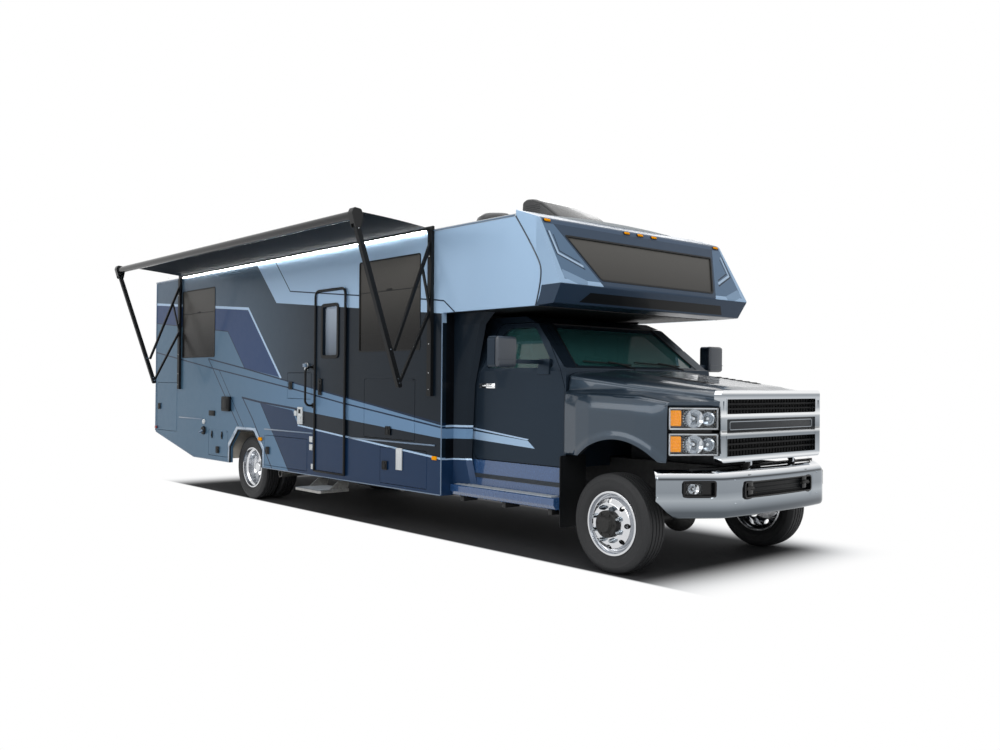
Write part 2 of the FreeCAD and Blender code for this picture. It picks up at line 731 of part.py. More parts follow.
def wheels():
    front = "size.front_track_half"
    rubber = body("FrontTyre", front, "0", "size.tyre_radius")
    tyre(rubber, 0)
    keep(rubber, "front_tyre_left")
    keep(mirror("FrontTyreRight", rubber), "front_tyre_right")
    disc = body("FrontWheel", front, "0", "size.tyre_radius")
    wheel(disc, 0, 1)
    hub(disc, size.wheel_offset, 1, 62)
    keep(disc, "front_wheel_left")
    keep(mirror("FrontWheelRight", disc), "front_wheel_right")
    rear = "size.dual_outer_half - size.wheel_offset"
    pair = body("RearTyres", rear, "size.wheelbase", "size.tyre_radius")
    tyre(pair, size.wheel_offset)
    tyre(pair, -size.wheel_offset)
    keep(pair, "rear_tyres_left")
    keep(mirror("RearTyresRight", pair), "rear_tyres_right")
    twin = body("RearWheels", rear, "size.wheelbase", "size.tyre_radius")
    wheel(twin, size.wheel_offset, -1)
    wheel(twin, -size.wheel_offset, 1)
    hub(twin, 0, 1, 150)
    keep(twin, "rear_wheels_left")
    keep(mirror("RearWheelsRight", twin), "rear_wheels_right")


# Engine with gearbox as one plain block, shafts, tank and exhaust

def driveline():
    engine = fuse("Engine",
                  box("EngineBlock", ("-size.engine_half", "size.engine_half"), ("size.engine_front", "size.engine_rear"),
                      ("size.engine_low", "size.engine_high")),
                  box("Gearbox", ("-size.gearbox_half", "size.gearbox_half"), ("size.engine_rear - 1", "size.gearbox_end"),
                      ("size.gearbox_low", "size.gearbox_high")))
    keep(engine, "engine_block")
    drop = size.shaft_front_height - size.shaft_rear_height
    lean = drop / (size.wheelbase - size.gearbox_end)
    start = FreeCAD.Vector(0, size.gearbox_end + size.shaft_radius * lean + size.seat_gap, size.shaft_front_height)
    end = FreeCAD.Vector(0, size.wheelbase - size.rear_gears_radius - 3, size.shaft_rear_height)
    shaft = doc.addObject("Part::Cylinder", "PropShaft")
    shaft.Radius = size.shaft_radius
    shaft.Height = (end - start).Length
    turn = FreeCAD.Rotation(FreeCAD.Vector(0, 0, 1), end - start)
    moved = start + FreeCAD.Vector(size.frame_x, size.frame_y, 0)
    shaft.Placement = FreeCAD.Placement(moved, turn)
    # the middle bearing hangs from the second crossmember behind the gearbox
    place = crossmember_places()[2]
    height = start.z + (end.z - start.z) * (place - start.y) / (end.y - start.y)
    keep(fuse("Shafts", shaft, rod("Bearing", "y", "80", ("0", str(place - 30), str(height)), "60"),
              box("BearingHanger", ("-30", "30"), (str(place - 30), str(place + 30)),
                  (str(height), "size.rail_bottom + size.crossmember_inset"))), "drive_shaft")
    tank = body("Tank")
    pad(tank, "YZ_Plane", ("size.rail_outer_half + 30", "size.coach_half_width - 160"),
        rectangle(size.coach_front + 337, size.coach_front + 1637, size.skirt_bottom + 35, size.rail_top - 30, 60))
    for strap in (size.coach_front + 637, size.coach_front + 1337):
        pad(tank, "XZ_Plane", (str(strap - 25), str(strap + 25)),
            rectangle(size.rail_outer_half, size.rail_outer_half + 40, size.rail_bottom + 60, size.rail_top - 70))
    keep(tank, "fuel_tank")


def exhaust():
    path = doc.addObject("Sketcher::SketchObject", "ExhaustPath")
    height = size.exhaust_height
    path.Placement = FreeCAD.Placement(
        FreeCAD.Vector(size.frame_x, size.frame_y, height), FreeCAD.Rotation())
    bend = size.exhaust_bend
    run = -size.exhaust_side
    turn_y = size.middle_locker_end - 265
    tip = -size.coach_half_width + 75
    path.addGeometry([
        Part.LineSegment(FreeCAD.Vector(run, size.exhaust_front, 0), FreeCAD.Vector(run, turn_y - bend, 0)),
        Part.Arc(FreeCAD.Vector(run, turn_y - bend, 0),
                 FreeCAD.Vector(run - bend * (1 - math.sqrt(0.5)), turn_y - bend + bend * math.sqrt(0.5), 0),
                 FreeCAD.Vector(run - bend, turn_y, 0)),
        Part.LineSegment(FreeCAD.Vector(run - bend, turn_y, 0), FreeCAD.Vector(tip, turn_y, 0)),
    ], False)
    ring = doc.addObject("Part::Circle", "ExhaustRing")
    ring.Radius = size.exhaust_radius
    ring.Placement = FreeCAD.Placement(
        FreeCAD.Vector(run + size.frame_x, size.exhaust_front + size.frame_y, height),
        FreeCAD.Rotation(FreeCAD.Vector(1, 0, 0), 90))
    pipe = doc.addObject("Part::Sweep", "ExhaustPipe")
    pipe.Sections = [ring]
    pipe.Spine = (path, [])
    pipe.Solid = True
    pipe.Frenet = True
    hangers = [box(f"Hanger{number}", (str(run - 12), "-size.rail_outer_half"), (str(place), str(place + 30)),
                   (str(height + size.exhaust_radius - 4), "size.rail_bottom + 80"))
               for number, place in enumerate((size.gearbox_end - 60, size.tall_locker_end + 538, turn_y - 435))]
    muffler = rod("Muffler", "y", "105", (str(run), "size.tall_locker_end + 288", str(height)), "900")
    bore = rod("PipeBore", "x", "size.exhaust_radius - size.exhaust_wall", (str(tip - 5), str(turn_y), str(height)), "260")
    keep(cut("ExhaustWhole", fuse("ExhaustSolid", pipe, muffler, *hangers), bore), "exhaust_pipe")


# Coach body

def side_profile():
    # the coach side seen from the left, from the joint with the cap to the tail
    return [
        (size.coach_front, size.skirt_bottom),
        *arch_points(),
        (size.tail_rise_start, size.skirt_bottom), (size.coach_rear, size.tail_bottom, 40),
        (size.coach_rear, size.roof_edge), (size.seam_top, size.roof_edge),
        (size.seam_shoulder, size.seam_shoulder_height), ("via", size.seam_nose, size.seam_nose_height),
        (size.seam_foot, size.overhang_bottom), (size.coach_front, size.overhang_bottom),
    ]


def arch_points():
    middle = size.arch_centre
    return [
        (middle - size.arch_half_bottom, size.skirt_bottom),
        (middle - size.arch_half_bottom, size.arch_shoulder, 40),
        (middle - size.arch_half_top, size.arch_top, 60),
        (middle + size.arch_half_top, size.arch_top, 60),
        (middle + size.arch_half_bottom, size.arch_shoulder, 40),
        (middle + size.arch_half_bottom, size.skirt_bottom),
    ]


lids = {
    "front_locker": "front", "tall_locker": "top", "middle_locker": "front",
    "service_hatch": "top", "power_hatch": "front", "rear_locker": "front",
}


def lid_opening(name, grow):
    return rectangle(getattr(size, f"{name}_start") - grow, getattr(size, f"{name}_end") + grow,
                     getattr(size, f"{name}_low") - grow, getattr(size, f"{name}_high") + grow, 12 + grow)


def coach_wall(part, openings):
    wall = ("size.coach_half_width - size.wall_thickness", "size.coach_half_width")
    through = ("size.coach_half_width - size.wall_thickness - 5", "size.coach_half_width + 60")
    pad(part, "YZ_Plane", wall, outline(side_profile()))
    for start, end in ((size.front_window_start, size.front_window_end),
                       (size.rear_window_start, size.rear_window_end)):
        pocket(part, "YZ_Plane", through, rectangle(start, end, size.window_low, size.window_high, 25))
    for name in openings:
        pocket(part, "YZ_Plane", through, lid_opening(name, size.lid_gap))


def side_walls():
    left = body("WallLeft")
    coach_wall(left, ("middle_locker", "rear_locker"))
    keep(left, "side_wall_left")
    right = body("WallRight")
    coach_wall(right, tuple(lids))
    grow = size.entry_frame_width
    outside = ("size.coach_half_width - size.wall_thickness",
               "size.coach_half_width + size.entry_frame_proud")
    pad(right, "YZ_Plane", outside, outline([
        (size.entry_start - grow, size.entry_low - 22), (size.entry_end + grow, size.entry_low - 22),
        (size.entry_end + grow, size.entry_high + grow, size.entry_corner + grow),
        (size.entry_start - grow, size.entry_high + grow, size.entry_corner + grow)]))
    pocket(right, "YZ_Plane", ("size.coach_half_width - size.wall_thickness - 5", "size.coach_half_width + 60"),
           outline(doorway(size.lid_gap)))
    keep(mirror("WallRightTurned", right), "side_wall_right")


def doorway(grow):
    return [
        (size.entry_start - grow, size.entry_low - grow), (size.entry_end + grow, size.entry_low - grow),
        (size.entry_end + grow, size.entry_high + grow, size.entry_corner + grow),
        (size.entry_start - grow, size.entry_high + grow, size.entry_corner + grow),
    ]


def coach_box():
    inside = "size.coach_half_width - size.wall_thickness"
    rear = body("WallRear")
    pad(rear, "XZ_Plane", ("size.coach_rear - size.wall_thickness", "size.coach_rear"),
        rectangle(-size.coach_half_width + size.wall_thickness, size.coach_half_width - size.wall_thickness,
                  size.tail_bottom, size.roof_edge))
    keep(rear, "rear_wall")
    front = body("WallFront")
    half = size.coach_half_width - size.wall_thickness
    pad(front, "XZ_Plane", ("size.coach_front", "size.coach_front + size.wall_thickness"),
        outline([(-half, size.skirt_bottom), (-450, size.skirt_bottom), (-450, size.rail_top + 1),
                 (450, size.rail_top + 1), (450, size.skirt_bottom), (half, size.skirt_bottom),
                 (half, size.overhang_bottom), (-half, size.overhang_bottom)]))
    pocket(front, "XZ_Plane", ("size.coach_front - 5", "size.coach_front + size.wall_thickness + 5"),
           rectangle(-size.cab_roof_half + 20, size.cab_roof_half - 20, size.cab_floor + 50,
                     size.cab_roof - 60, 60))
    keep(front, "front_wall")
    roof = body("Roof")
    wide = size.coach_half_width
    pad(roof, "XZ_Plane", ("size.seam_top", "size.coach_rear + size.roof_lip"),
        outline([(-wide, size.roof_edge), (wide, size.roof_edge), (wide, size.roof_edge + 24),
                 ("via", 0, size.roof_crown), (-wide, size.roof_edge + 24)]))
    keep(roof, "roof_panel")
    bunk = box("BunkFloor", (f"-({inside})", inside),
               ("size.seam_foot + 60", "size.coach_front + size.wall_thickness"),
               ("size.overhang_bottom", "size.overhang_bottom + size.bunk_floor_thickness"))
    keep(bunk, "bunk_floor")


def locker_box(name, side, top):
    # a sheet box open towards its lid, hung from the floor; top is an expression
    sheet = "size.locker_sheet"
    outer = "size.coach_half_width - size.wall_thickness"
    inner = "size.coach_half_width - size.wall_thickness - size.locker_depth"
    room_in = f"{inner} + {sheet}"
    wall = (inner, outer) if side > 0 else (f"-({outer})", f"-({inner})")
    space = (room_in, f"{outer} + 5") if side > 0 else (f"-({outer}) - 5", f"-({room_in})")
    hull = box(f"Hull{name}{side + 1}", wall, (f"size.{name}_start - {sheet} - size.lid_gap",
               f"size.{name}_end + {sheet} + size.lid_gap"), (f"size.{name}_low - {sheet}", top))
    room = box(f"Room{name}{side + 1}", space, (f"size.{name}_start - size.lid_gap", f"size.{name}_end + size.lid_gap"),
               (f"size.{name}_low", f"{top} + 5"))
    return cut(f"Locker{name}{side + 1}", hull, room)


def coach_floor():
    inside = "size.coach_half_width - size.wall_thickness"
    under = "size.floor_top - size.floor_thickness"
    back = f"{inside} - size.step_well_depth"
    sheet = "size.locker_sheet"
    slab = box("FloorSlab", (f"-({inside})", inside),
               ("size.coach_front + size.wall_thickness", "size.coach_rear - size.wall_thickness"),
               (under, "size.floor_top"))
    notch = box("StepNotch", (f"-({inside}) - 5", f"-({back})"), ("size.entry_start", "size.entry_end"),
                (f"{under} - 5", "size.floor_top + 5"))
    garages = [box(f"GarageNotch{side + 1}", span,
                   (f"size.rear_locker_start - size.lid_gap - {sheet}", f"size.rear_locker_end + size.lid_gap + {sheet}"),
                   (f"{under} - 5", "size.floor_top + 5"))
               for side, span in ((1, (f"{inside} - size.locker_depth", f"{inside} + 5")),
                                  (-1, (f"-({inside}) - 5", f"-({inside} - size.locker_depth)")))]
    keep(cut("FloorNotched", slab, notch, *garages), "coach_floor")
    well = box("StepWell", (f"-({inside})", f"-({back}) + {sheet}"),
               (f"size.entry_start - {sheet}", f"size.entry_end + {sheet}"), ("size.entry_low - 24", under))
    room = box("StepRoom", (f"-({inside}) - 5", f"-({back})"), ("size.entry_start", "size.entry_end"),
               ("size.entry_low", f"{under} + 5"))
    tread = box("StepTread", (f"-({back}) - size.step_tread", f"-({back}) + 1"), ("size.entry_start - 1", "size.entry_end + 1"),
                ("size.entry_low - 20", "(size.entry_low + size.floor_top) / 2"))
    step_well = fuse("StepWellWhole", cut("WellOpen", well, room), tread)
    bins = [locker_box("front_locker", -1, under), locker_box("middle_locker", -1, under),
            locker_box("service_hatch", -1, under), locker_box("middle_locker", 1, under),
            locker_box("rear_locker", -1, "size.floor_top"), locker_box("rear_locker", 1, "size.floor_top")]
    keep(fuse("Bins", step_well, *bins), "storage_bins")


def overcab_cap():
    # a moulded shell: two cheeks, the raked window face, the nose and its lower facet
    shell = body("Cap")
    wide = size.cap_nose_half_width
    profile = [
        (size.seam_top, size.roof_edge), (size.seam_shoulder, size.seam_shoulder_height),
        ("via", size.seam_nose, size.seam_nose_height), (size.seam_foot, size.overhang_bottom),
        (size.cap_foot, size.overhang_bottom + 8, 20), (size.cap_nose, size.cap_nose_height, 25),
        (size.cap_crown, size.roof_edge - 38, 60), (size.seam_top, size.roof_crown - 28),
    ]
    pad(shell, "YZ_Plane", (str(-wide), str(wide)), outline(profile))
    for side in (1, -1):
        wedge = [(side * size.coach_half_width, size.seam_top + 5), (side * size.coach_half_width, size.seam_foot),
                 (side * wide, size.cap_nose), (side * (wide + 30), size.cap_nose - 20),
                 (side * (wide + 30), size.seam_top + 5)]
        pocket(shell, "XY_Plane", ("size.overhang_bottom - 20", "size.roof_crown + 20"), outline(wedge))
    thick = size.cap_thickness
    inner = size.coach_half_width - size.wall_thickness
    hollow = [
        (size.seam_top + 20, size.overhang_bottom + thick), (size.cap_foot + 22, size.overhang_bottom + thick),
        (size.cap_nose + thick + 4, size.cap_nose_height + 4, 20),
        (size.cap_crown + thick * 0.6, size.roof_edge - 38 - thick, 40), (size.seam_top + 20, size.roof_edge - 4),
    ]
    pocket(shell, "YZ_Plane", (str(-inner), str(inner)), outline(hollow))
    pocket(shell, "XZ_Plane", ("size.cap_nose - 20", "size.cap_crown + 60"), outline(cap_window()))
    keep(shell, "overcab_cap")


def cap_window():
    return [
        (-size.cap_window_low_half, size.cap_window_low, 20), (size.cap_window_low_half, size.cap_window_low, 20),
        (size.cap_window_high_half, size.cap_window_high, 20), (-size.cap_window_high_half, size.cap_window_high, 20),
    ]


def coach_windows():
    panes = body("CoachPanes")
    inner = size.coach_half_width - size.wall_thickness
    for side in (1, -1):
        span = sorted_span(side * (size.coach_half_width - 6), side * (size.coach_half_width - 6 - size.pane_thickness))
        for start, end in ((size.front_window_start, size.front_window_end),
                           (size.rear_window_start, size.rear_window_end)):
            pad(panes, "YZ_Plane", span, rectangle(start, end, size.window_low, size.window_high, 25))
    slope = (size.cap_crown - size.cap_nose) / (size.roof_edge - 38 - size.cap_nose_height)
    glass = body("CapGlass")
    low = size.cap_nose_height
    high = size.roof_edge - 38
    near = size.cap_nose + 10
    pad(glass, "YZ_Plane", (str(-inner), str(inner)), outline([
        (near, low), (near + 12, low), (size.cap_crown + 22, high), (size.cap_crown + 10, high)]))
    window = body("CapGlassEdge")
    pad(window, "XZ_Plane", ("size.cap_nose - 20", "size.cap_crown + 60"), outline(cap_window()))
    keep(fuse("CoachGlass", panes, common("CapPane", glass, window)), "coach_windows")


# Truck cab

def cab_side(grow):
    return [
        (size.cab_front + grow, size.cab_sill + grow), (size.cab_front + grow, size.cowl_height - grow, 10),
        (size.windshield_foot + grow * 1.4, size.cowl_height - grow + 8, 10),
        (size.windshield_head + grow * 1.2, size.windshield_head_height - grow, 60),
        (size.windshield_head + 190, size.cab_roof - grow, 60), (size.coach_front, size.cab_roof - grow),
        (size.coach_front, size.cab_sill + grow),
    ]


def cab_solid(name, grow, reach):
    # the cab's outer form, or with a wall's thickness taken off, the room inside it
    solid = body(name)
    wide = size.cab_half_width - grow
    pad(solid, "YZ_Plane", (str(-wide), str(wide)), outline(cab_side(grow * reach)))
    lean = cab_lean_slope()
    for side in (1, -1):
        top = size.cab_roof + 50
        pocket(solid, "XZ_Plane", ("size.cab_front - 5", "size.coach_front + 5"), outline([
            (side * wide, size.cab_belt), (side * (wide - lean * (top - size.cab_belt)), top),
            (side * (wide + 50), top), (side * (wide + 50), size.cab_belt)]))
    return solid


def door_edge(grow):
    # the door seen from the side, leaning forward at its upper rear corner
    return [
        (size.door_front - grow, size.door_low - grow, 20),
        (size.door_rear + size.door_foot_back + grow, size.door_low - grow, 60),
        (size.door_rear + grow, size.door_waist, 200),
        (size.door_rear - size.door_head_forward + grow, size.door_head + grow, 60),
        (size.windshield_head - size.door_pillar - grow, size.door_head + grow, 60),
        (size.door_front + size.door_front_lean - grow, size.cowl_height - size.door_corner_drop, 30),
        (size.door_front - grow, size.door_waist, 60),
    ]


def door_sweep(edge, height):
    # the furthest back that the inner corner of the door's rear edge comes, with its clearance
    axis = size.door_front - size.door_gap / 2
    lean = cab_lean_slope() * max(height - size.cab_belt, 0)
    return axis + math.hypot(edge - axis, size.cab_wall + lean) + size.door_sweep_gap


def cab_lean_slope():
    # how far the cab's side leans in for each unit of height above the belt
    return (size.cab_half_width - size.cab_roof_half) / (size.cab_roof - size.cab_belt)


def cab_window_edge(grow):
    return [
        (size.cab_window_front - grow, size.cab_window_low - grow, 20),
        (size.cab_window_rear + grow, size.cab_window_low - grow, 30),
        (size.cab_window_rear - 150 + grow, size.cab_window_high + grow, 110),
        (size.windshield_head + 20 - grow, size.cab_window_high + grow, 70),
    ]


def door_band(name, side, grow):
    # the thickness of the cab's side, upright below the belt and leaning above it
    lean = cab_lean_slope()
    outer = size.cab_half_width + 25
    inner = size.cab_half_width - size.cab_wall - grow
    top = size.cab_roof - 20
    drop = lean * (top - size.cab_belt)
    band = body(name)
    pad(band, "XZ_Plane", ("size.cab_front - 20", "size.coach_front + 20"), outline([
        (side * outer, size.cab_sill - 40), (side * outer, size.cab_belt), (side * (outer - drop), top),
        (side * (inner - drop), top), (side * inner, size.cab_belt), (side * inner, size.cab_sill - 40)]))
    return band


def door_slab(name, side, grow):
    slab = body(f"{name}Edge")
    pad(slab, "YZ_Plane", sorted_span(side * (size.cab_half_width + 20), side * 600), outline(door_edge(grow)))
    return common(name, slab, door_band(f"{name}Band", side, grow))


def truck_cab():
    outer = cab_solid("CabOuter", 0, 1)
    room = cab_solid("CabRoom", size.cab_wall, 0.75)
    under = box("CabTunnel", ("-size.rail_outer_half - 20", "size.rail_outer_half + 20"),
                ("size.cab_front - 5", "size.coach_front + 5"), ("size.cab_sill - 5", "size.cab_floor"))
    deck = box("CabDeck", ("-size.cab_half_width + 40", "size.cab_half_width - 40"),
               ("size.cab_front + 20", "size.coach_front"), ("size.cab_floor", "size.cab_floor + 40"))
    doorways = [door_slab(f"Doorway{side + 1}", side, size.door_gap) for side in (1, -1)]
    screen = body("ScreenEdge")
    pad(screen, "XZ_Plane", ("size.cab_front + 20", "size.windshield_head + 90"), outline([
        (-size.windshield_low_half, size.cowl_height + 22, 40), (size.windshield_low_half, size.cowl_height + 22, 40),
        (size.windshield_high_half, size.windshield_head_height - 36, 60),
        (-size.windshield_high_half, size.windshield_head_height - 36, 60)]))
    hollow = fuse("CabHollow", cut("CabSkin", outer, room), deck)
    keep(cut("CabWhole", hollow, screen, under, *doorways), "cab_shell")
    glass = body("ScreenGlass")
    pad(glass, "YZ_Plane", ("-size.cab_half_width", "size.cab_half_width"), outline([
        (size.windshield_foot + 10, size.cowl_height), (size.windshield_foot + 18, size.cowl_height),
        (size.windshield_head + 18, size.windshield_head_height),
        (size.windshield_head + 10, size.windshield_head_height)]))
    keep(common("Windshield", glass, screen), "windshield")
    for side, hand in ((1, "left"), (-1, "right")):
        cab_door(side, hand, outer)


def cab_door(side, hand, outer):
    skin = common(f"DoorSkin{hand}", outer, door_slab(f"DoorSlab{hand}", side, 0))
    pane = body(f"DoorPaneEdge{hand}")
    pad(pane, "YZ_Plane", sorted_span(side * (size.cab_half_width + 20), side * 600), outline(cab_window_edge(0)))
    leaf = cut(f"DoorLeaf{hand}", skin, pane)
    belt = size.cab_belt
    near = size.cab_window_front + 120
    head_in = size.mirror_reach - size.mirror_width
    arm = box(f"MirrorArm{hand}", sorted_span(side * (size.cab_half_width - 30), side * (head_in + 10)),
              (str(near + 15), str(near + 65)), (str(belt + 60), str(belt + 95)))
    foot = body(f"MirrorFoot{hand}")
    pad(foot, "XZ_Plane", (str(near - 70), str(near + 70)), outline([
        (side * (size.cab_half_width - 35), belt - 40), (side * (size.cab_half_width + 12), belt - 30),
        (side * size.cab_half_width, belt + 105), (side * (size.cab_half_width - 45), belt + 105)]))
    head = body(f"MirrorHead{hand}")
    ends = sorted((side * head_in, side * size.mirror_reach))
    pad(head, "XZ_Plane", (str(near), str(near + 95)), rectangle(ends[0], ends[1], belt + 22, belt + 22 + size.mirror_height, 36))
    hinge = body(f"DoorHinge{hand}")
    axis = (side * size.cab_half_width, size.door_front - size.door_gap / 2)
    radius = size.door_gap / 2 - size.seat_gap
    for low in (size.door_low + 94, size.cab_belt - 260):
        span = (str(low), str(low + 110))
        pad(hinge, "XY_Plane", span, circle(axis[0], axis[1], radius))
        pad(hinge, "XY_Plane", span, outline([
            (axis[0], axis[1]), (axis[0] + side * 2, axis[1]), (axis[0] + side * 2, axis[1] + 40),
            (axis[0], axis[1] + 40)]))
    keep(fuse(f"Door{hand}", leaf, foot, arm, head, hinge), f"cab_door_{hand}")
    lean = cab_lean_slope()
    glass = body(f"DoorGlass{hand}")
    inner = size.cab_half_width - size.cab_wall / 2
    low = size.cab_belt
    high = size.cab_roof
    span = ("size.cab_window_front - 60", "size.cab_window_rear + 60")
    pad(glass, "XZ_Plane", span, outline([
        (side * inner, low), (side * (inner - lean * (high - low)), high),
        (side * (inner - 6 - lean * (high - low)), high), (side * (inner - 6), low)]))
    keep(common(f"DoorWindow{hand}", glass, pane), f"cab_door_window_{hand}")


def cab_interior():
    seats = []
    for side in (1, -1):
        seat = body(f"Seat{side + 1}")
        middle = side * 520
        span = sorted_span(middle - 240, middle + 240)
        pad(seat, "YZ_Plane", span, outline([
            (1120, 1130, 40), (1640, 1110, 30), (1650, 1180), (1790, 1800, 34), (1690, 1830, 34),
            (1560, 1280, 40), (1130, 1275, 60)]))
        pad(seat, "YZ_Plane", sorted_span(middle - 150, middle + 150), rectangle(1200, 1580, size.cab_floor + 40, 1140))
        seats.append(seat)
    keep(fuse("Seats", *seats), "cab_seats")
    dash = body("Dash")
    pad(dash, "YZ_Plane", ("-900", "900"), outline([
        (700, 1100, 20), (840, 1100, 40), (960, 1250, 60), (960, 1480, 60), (860, 1590, 60), (700, 1600, 20)]))
    pad(dash, "YZ_Plane", ("-140", "140"), rectangle(700, 860, size.cab_floor + 40, 1110))
    wheel_ring = doc.addObject("Part::Torus", "SteeringWheel")
    wheel_ring.Radius1 = 185
    wheel_ring.Radius2 = 15
    lean = FreeCAD.Rotation(FreeCAD.Vector(1, 0, 0), -65)
    centre = FreeCAD.Vector(430 + size.frame_x, 1055 + size.frame_y, 1480)
    wheel_ring.Placement = FreeCAD.Placement(centre, lean)
    hub_bar = doc.addObject("Part::Cylinder", "SteeringColumn")
    hub_bar.Radius = 34
    hub_bar.Height = 190
    down = lean.multVec(FreeCAD.Vector(0, 0, -170))
    hub_bar.Placement = FreeCAD.Placement(centre + down, lean)
    spokes = doc.addObject("Part::Box", "SteeringSpokes")
    spokes.Length = 372
    spokes.Width = 44
    spokes.Height = 16
    shift = lean.multVec(FreeCAD.Vector(-186, -22, -8))
    spokes.Placement = FreeCAD.Placement(centre + shift, lean)
    keep(fuse("DashWhole", dash, wheel_ring, hub_bar, spokes), "dashboard")


# Hood and fenders: one clamshell that tilts forward with grille and headlamps

def hood_plan(grow):
    # half of the hood seen from above, right side negative; grow takes skin off
    return [
        (size.hood_rear_half - grow, size.hood_rear), (size.hood_rear_half - 25 - grow, 0),
        (size.hood_front_half + 25 - grow, size.grille_face + 40 + grow),
    ]


def both_sides(half):
    # closes a half plan, listed from its rear to its front, by its mirror image
    return half + [(-point[0],) + tuple(point[1:]) for point in reversed(half)]


def hood_top(grow):
    return [
        (size.hood_rear + 5, size.fender_bottom - 5 if not grow else 700), (size.hood_rear + 5, size.hood_rear_height - grow),
        ("via", 100, size.hood_rear_height - 8 - grow),
        (size.grille_face + 60 + grow, size.hood_front_height - grow, 60),
        (size.grille_face + grow, size.hood_front_height - 60, 10),
        (size.grille_face + grow, size.fender_bottom if not grow else 700),
    ]


def fender_plan(grow):
    return [
        (size.fender_half - 70 - grow, size.hood_rear, 30), (size.fender_half - grow, size.hood_rear - 230, 120),
        (size.fender_half - grow, -420, 120), (size.lamp_half - grow, size.lamp_rear, 20),
        (size.grille_half - grow, size.grille_face + 10 + grow),
    ]


def hood_shell(name, grow):
    upper = body(f"{name}Upper")
    low = size.fender_bottom if not grow else 700
    pad(upper, "XY_Plane", (str(low), str(size.hood_rear_height + 30)), outline(both_sides(hood_plan(grow))))
    side = body(f"{name}Side")
    pad(side, "YZ_Plane", ("-size.fender_half", "size.fender_half"), outline(hood_top(grow)))
    lower = body(f"{name}Lower")
    pad(lower, "XY_Plane", (str(low), str(size.fender_top - grow)), outline(both_sides(fender_plan(grow))))
    return fuse(f"{name}Both", common(f"{name}Crown", upper, side), lower)


def hood():
    outer = hood_shell("Hood", 0)
    inner = hood_shell("HoodRoom", size.hood_skin)
    arch = rod("FenderArch", "x", "size.fender_arch_radius",
               ("-1300", "size.fender_arch_centre", "size.fender_arch_height"), "2600")
    frame = box("GrilleBay", (str(-size.grille_half), str(size.grille_half)),
                ("size.grille_face - 5", "size.grille_face + size.grille_depth"),
                ("size.fender_bottom - 5", "size.grille_high"))
    lamps = box("LampBay", ("-1200", "1200"), ("size.grille_face - 5", "size.lamp_rear"),
                ("size.lamp_low", "size.lamp_high"))
    keep(cut("HoodWhole", outer, inner, arch, frame, lamps), "hood")


def grille():
    part = body("Grille")
    face = (str(size.grille_face), str(size.grille_face + size.grille_depth - 2))
    half = size.grille_half - size.seat_gap
    pad(part, "XZ_Plane", face, rectangle(-half, half, size.grille_low, size.grille_high - size.seat_gap))
    through = (str(size.grille_face - 5), str(size.grille_face + size.grille_depth + 5))
    opening = 645
    for low, high in ((972, 1110), (1302, 1418)):
        pocket(part, "XZ_Plane", through, rectangle(-opening, opening, low, high, 10))
    band = (str(size.grille_face - 5), str(size.grille_face + 22))
    pocket(part, "XZ_Plane", band, rectangle(-opening, opening, 1150, 1262, 8))
    bar = (str(size.grille_face + 22), str(size.grille_face + 46))
    for low, high, count in ((972, 1110, 2), (1302, 1418, 2)):
        pitch = (high - low) / (count + 1)
        for step in range(1, count + 1):
            middle = low + step * pitch
            pad(part, "XZ_Plane", bar, rectangle(-opening - 2, opening + 2, middle - 7, middle + 7))
    for side in (1, -1):
        outer = side * size.tilt_ear_half
        inner = outer - side * size.tilt_ear_thickness
        pad(part, "YZ_Plane", sorted_span(inner, outer), outline([
            (size.tilt_axis_y - 16, size.grille_low + 4), (size.tilt_axis_y - 16, size.tilt_axis_z - 16, 15),
            (size.tilt_axis_y + 16, size.tilt_axis_z - 16, 15), (size.tilt_axis_y + 42, size.grille_low + 4)]))
        pocket(part, "YZ_Plane", sorted_span(inner - side, outer + side),
               circle(size.tilt_axis_y, size.tilt_axis_z, size.tilt_pin_radius + size.running_gap))
    keep(part, "grille")


def headlamps():
    pieces = []
    for side in (1, -1):
        lamp = body(f"Lamp{side + 1}")
        plan = [(side * (size.grille_half + 3), size.grille_face + 14),
                (side * (size.lamp_half - 3), size.lamp_rear - 4), (side * (size.lamp_half - 60), size.lamp_rear - 4),
                (side * (size.grille_half + 3), size.lamp_rear - 4)]
        middle = (size.lamp_low + size.lamp_high) / 2
        pad(lamp, "XY_Plane", (str(size.lamp_low + size.seat_gap), str(middle - 8)), outline(plan))
        pad(lamp, "XY_Plane", (str(middle + 8), str(size.lamp_high - size.seat_gap)), outline(plan))
        inset = [(side * (size.grille_half + 3), size.grille_face + 44),
                 (side * (size.lamp_half - 33), size.lamp_rear - 4), (side * (size.grille_half + 3), size.lamp_rear - 4)]
        pad(lamp, "XY_Plane", (str(middle - 9), str(middle + 9)), outline(inset))
        pieces.append(lamp)
    keep(fuse("Lamps", *pieces), "headlamps")


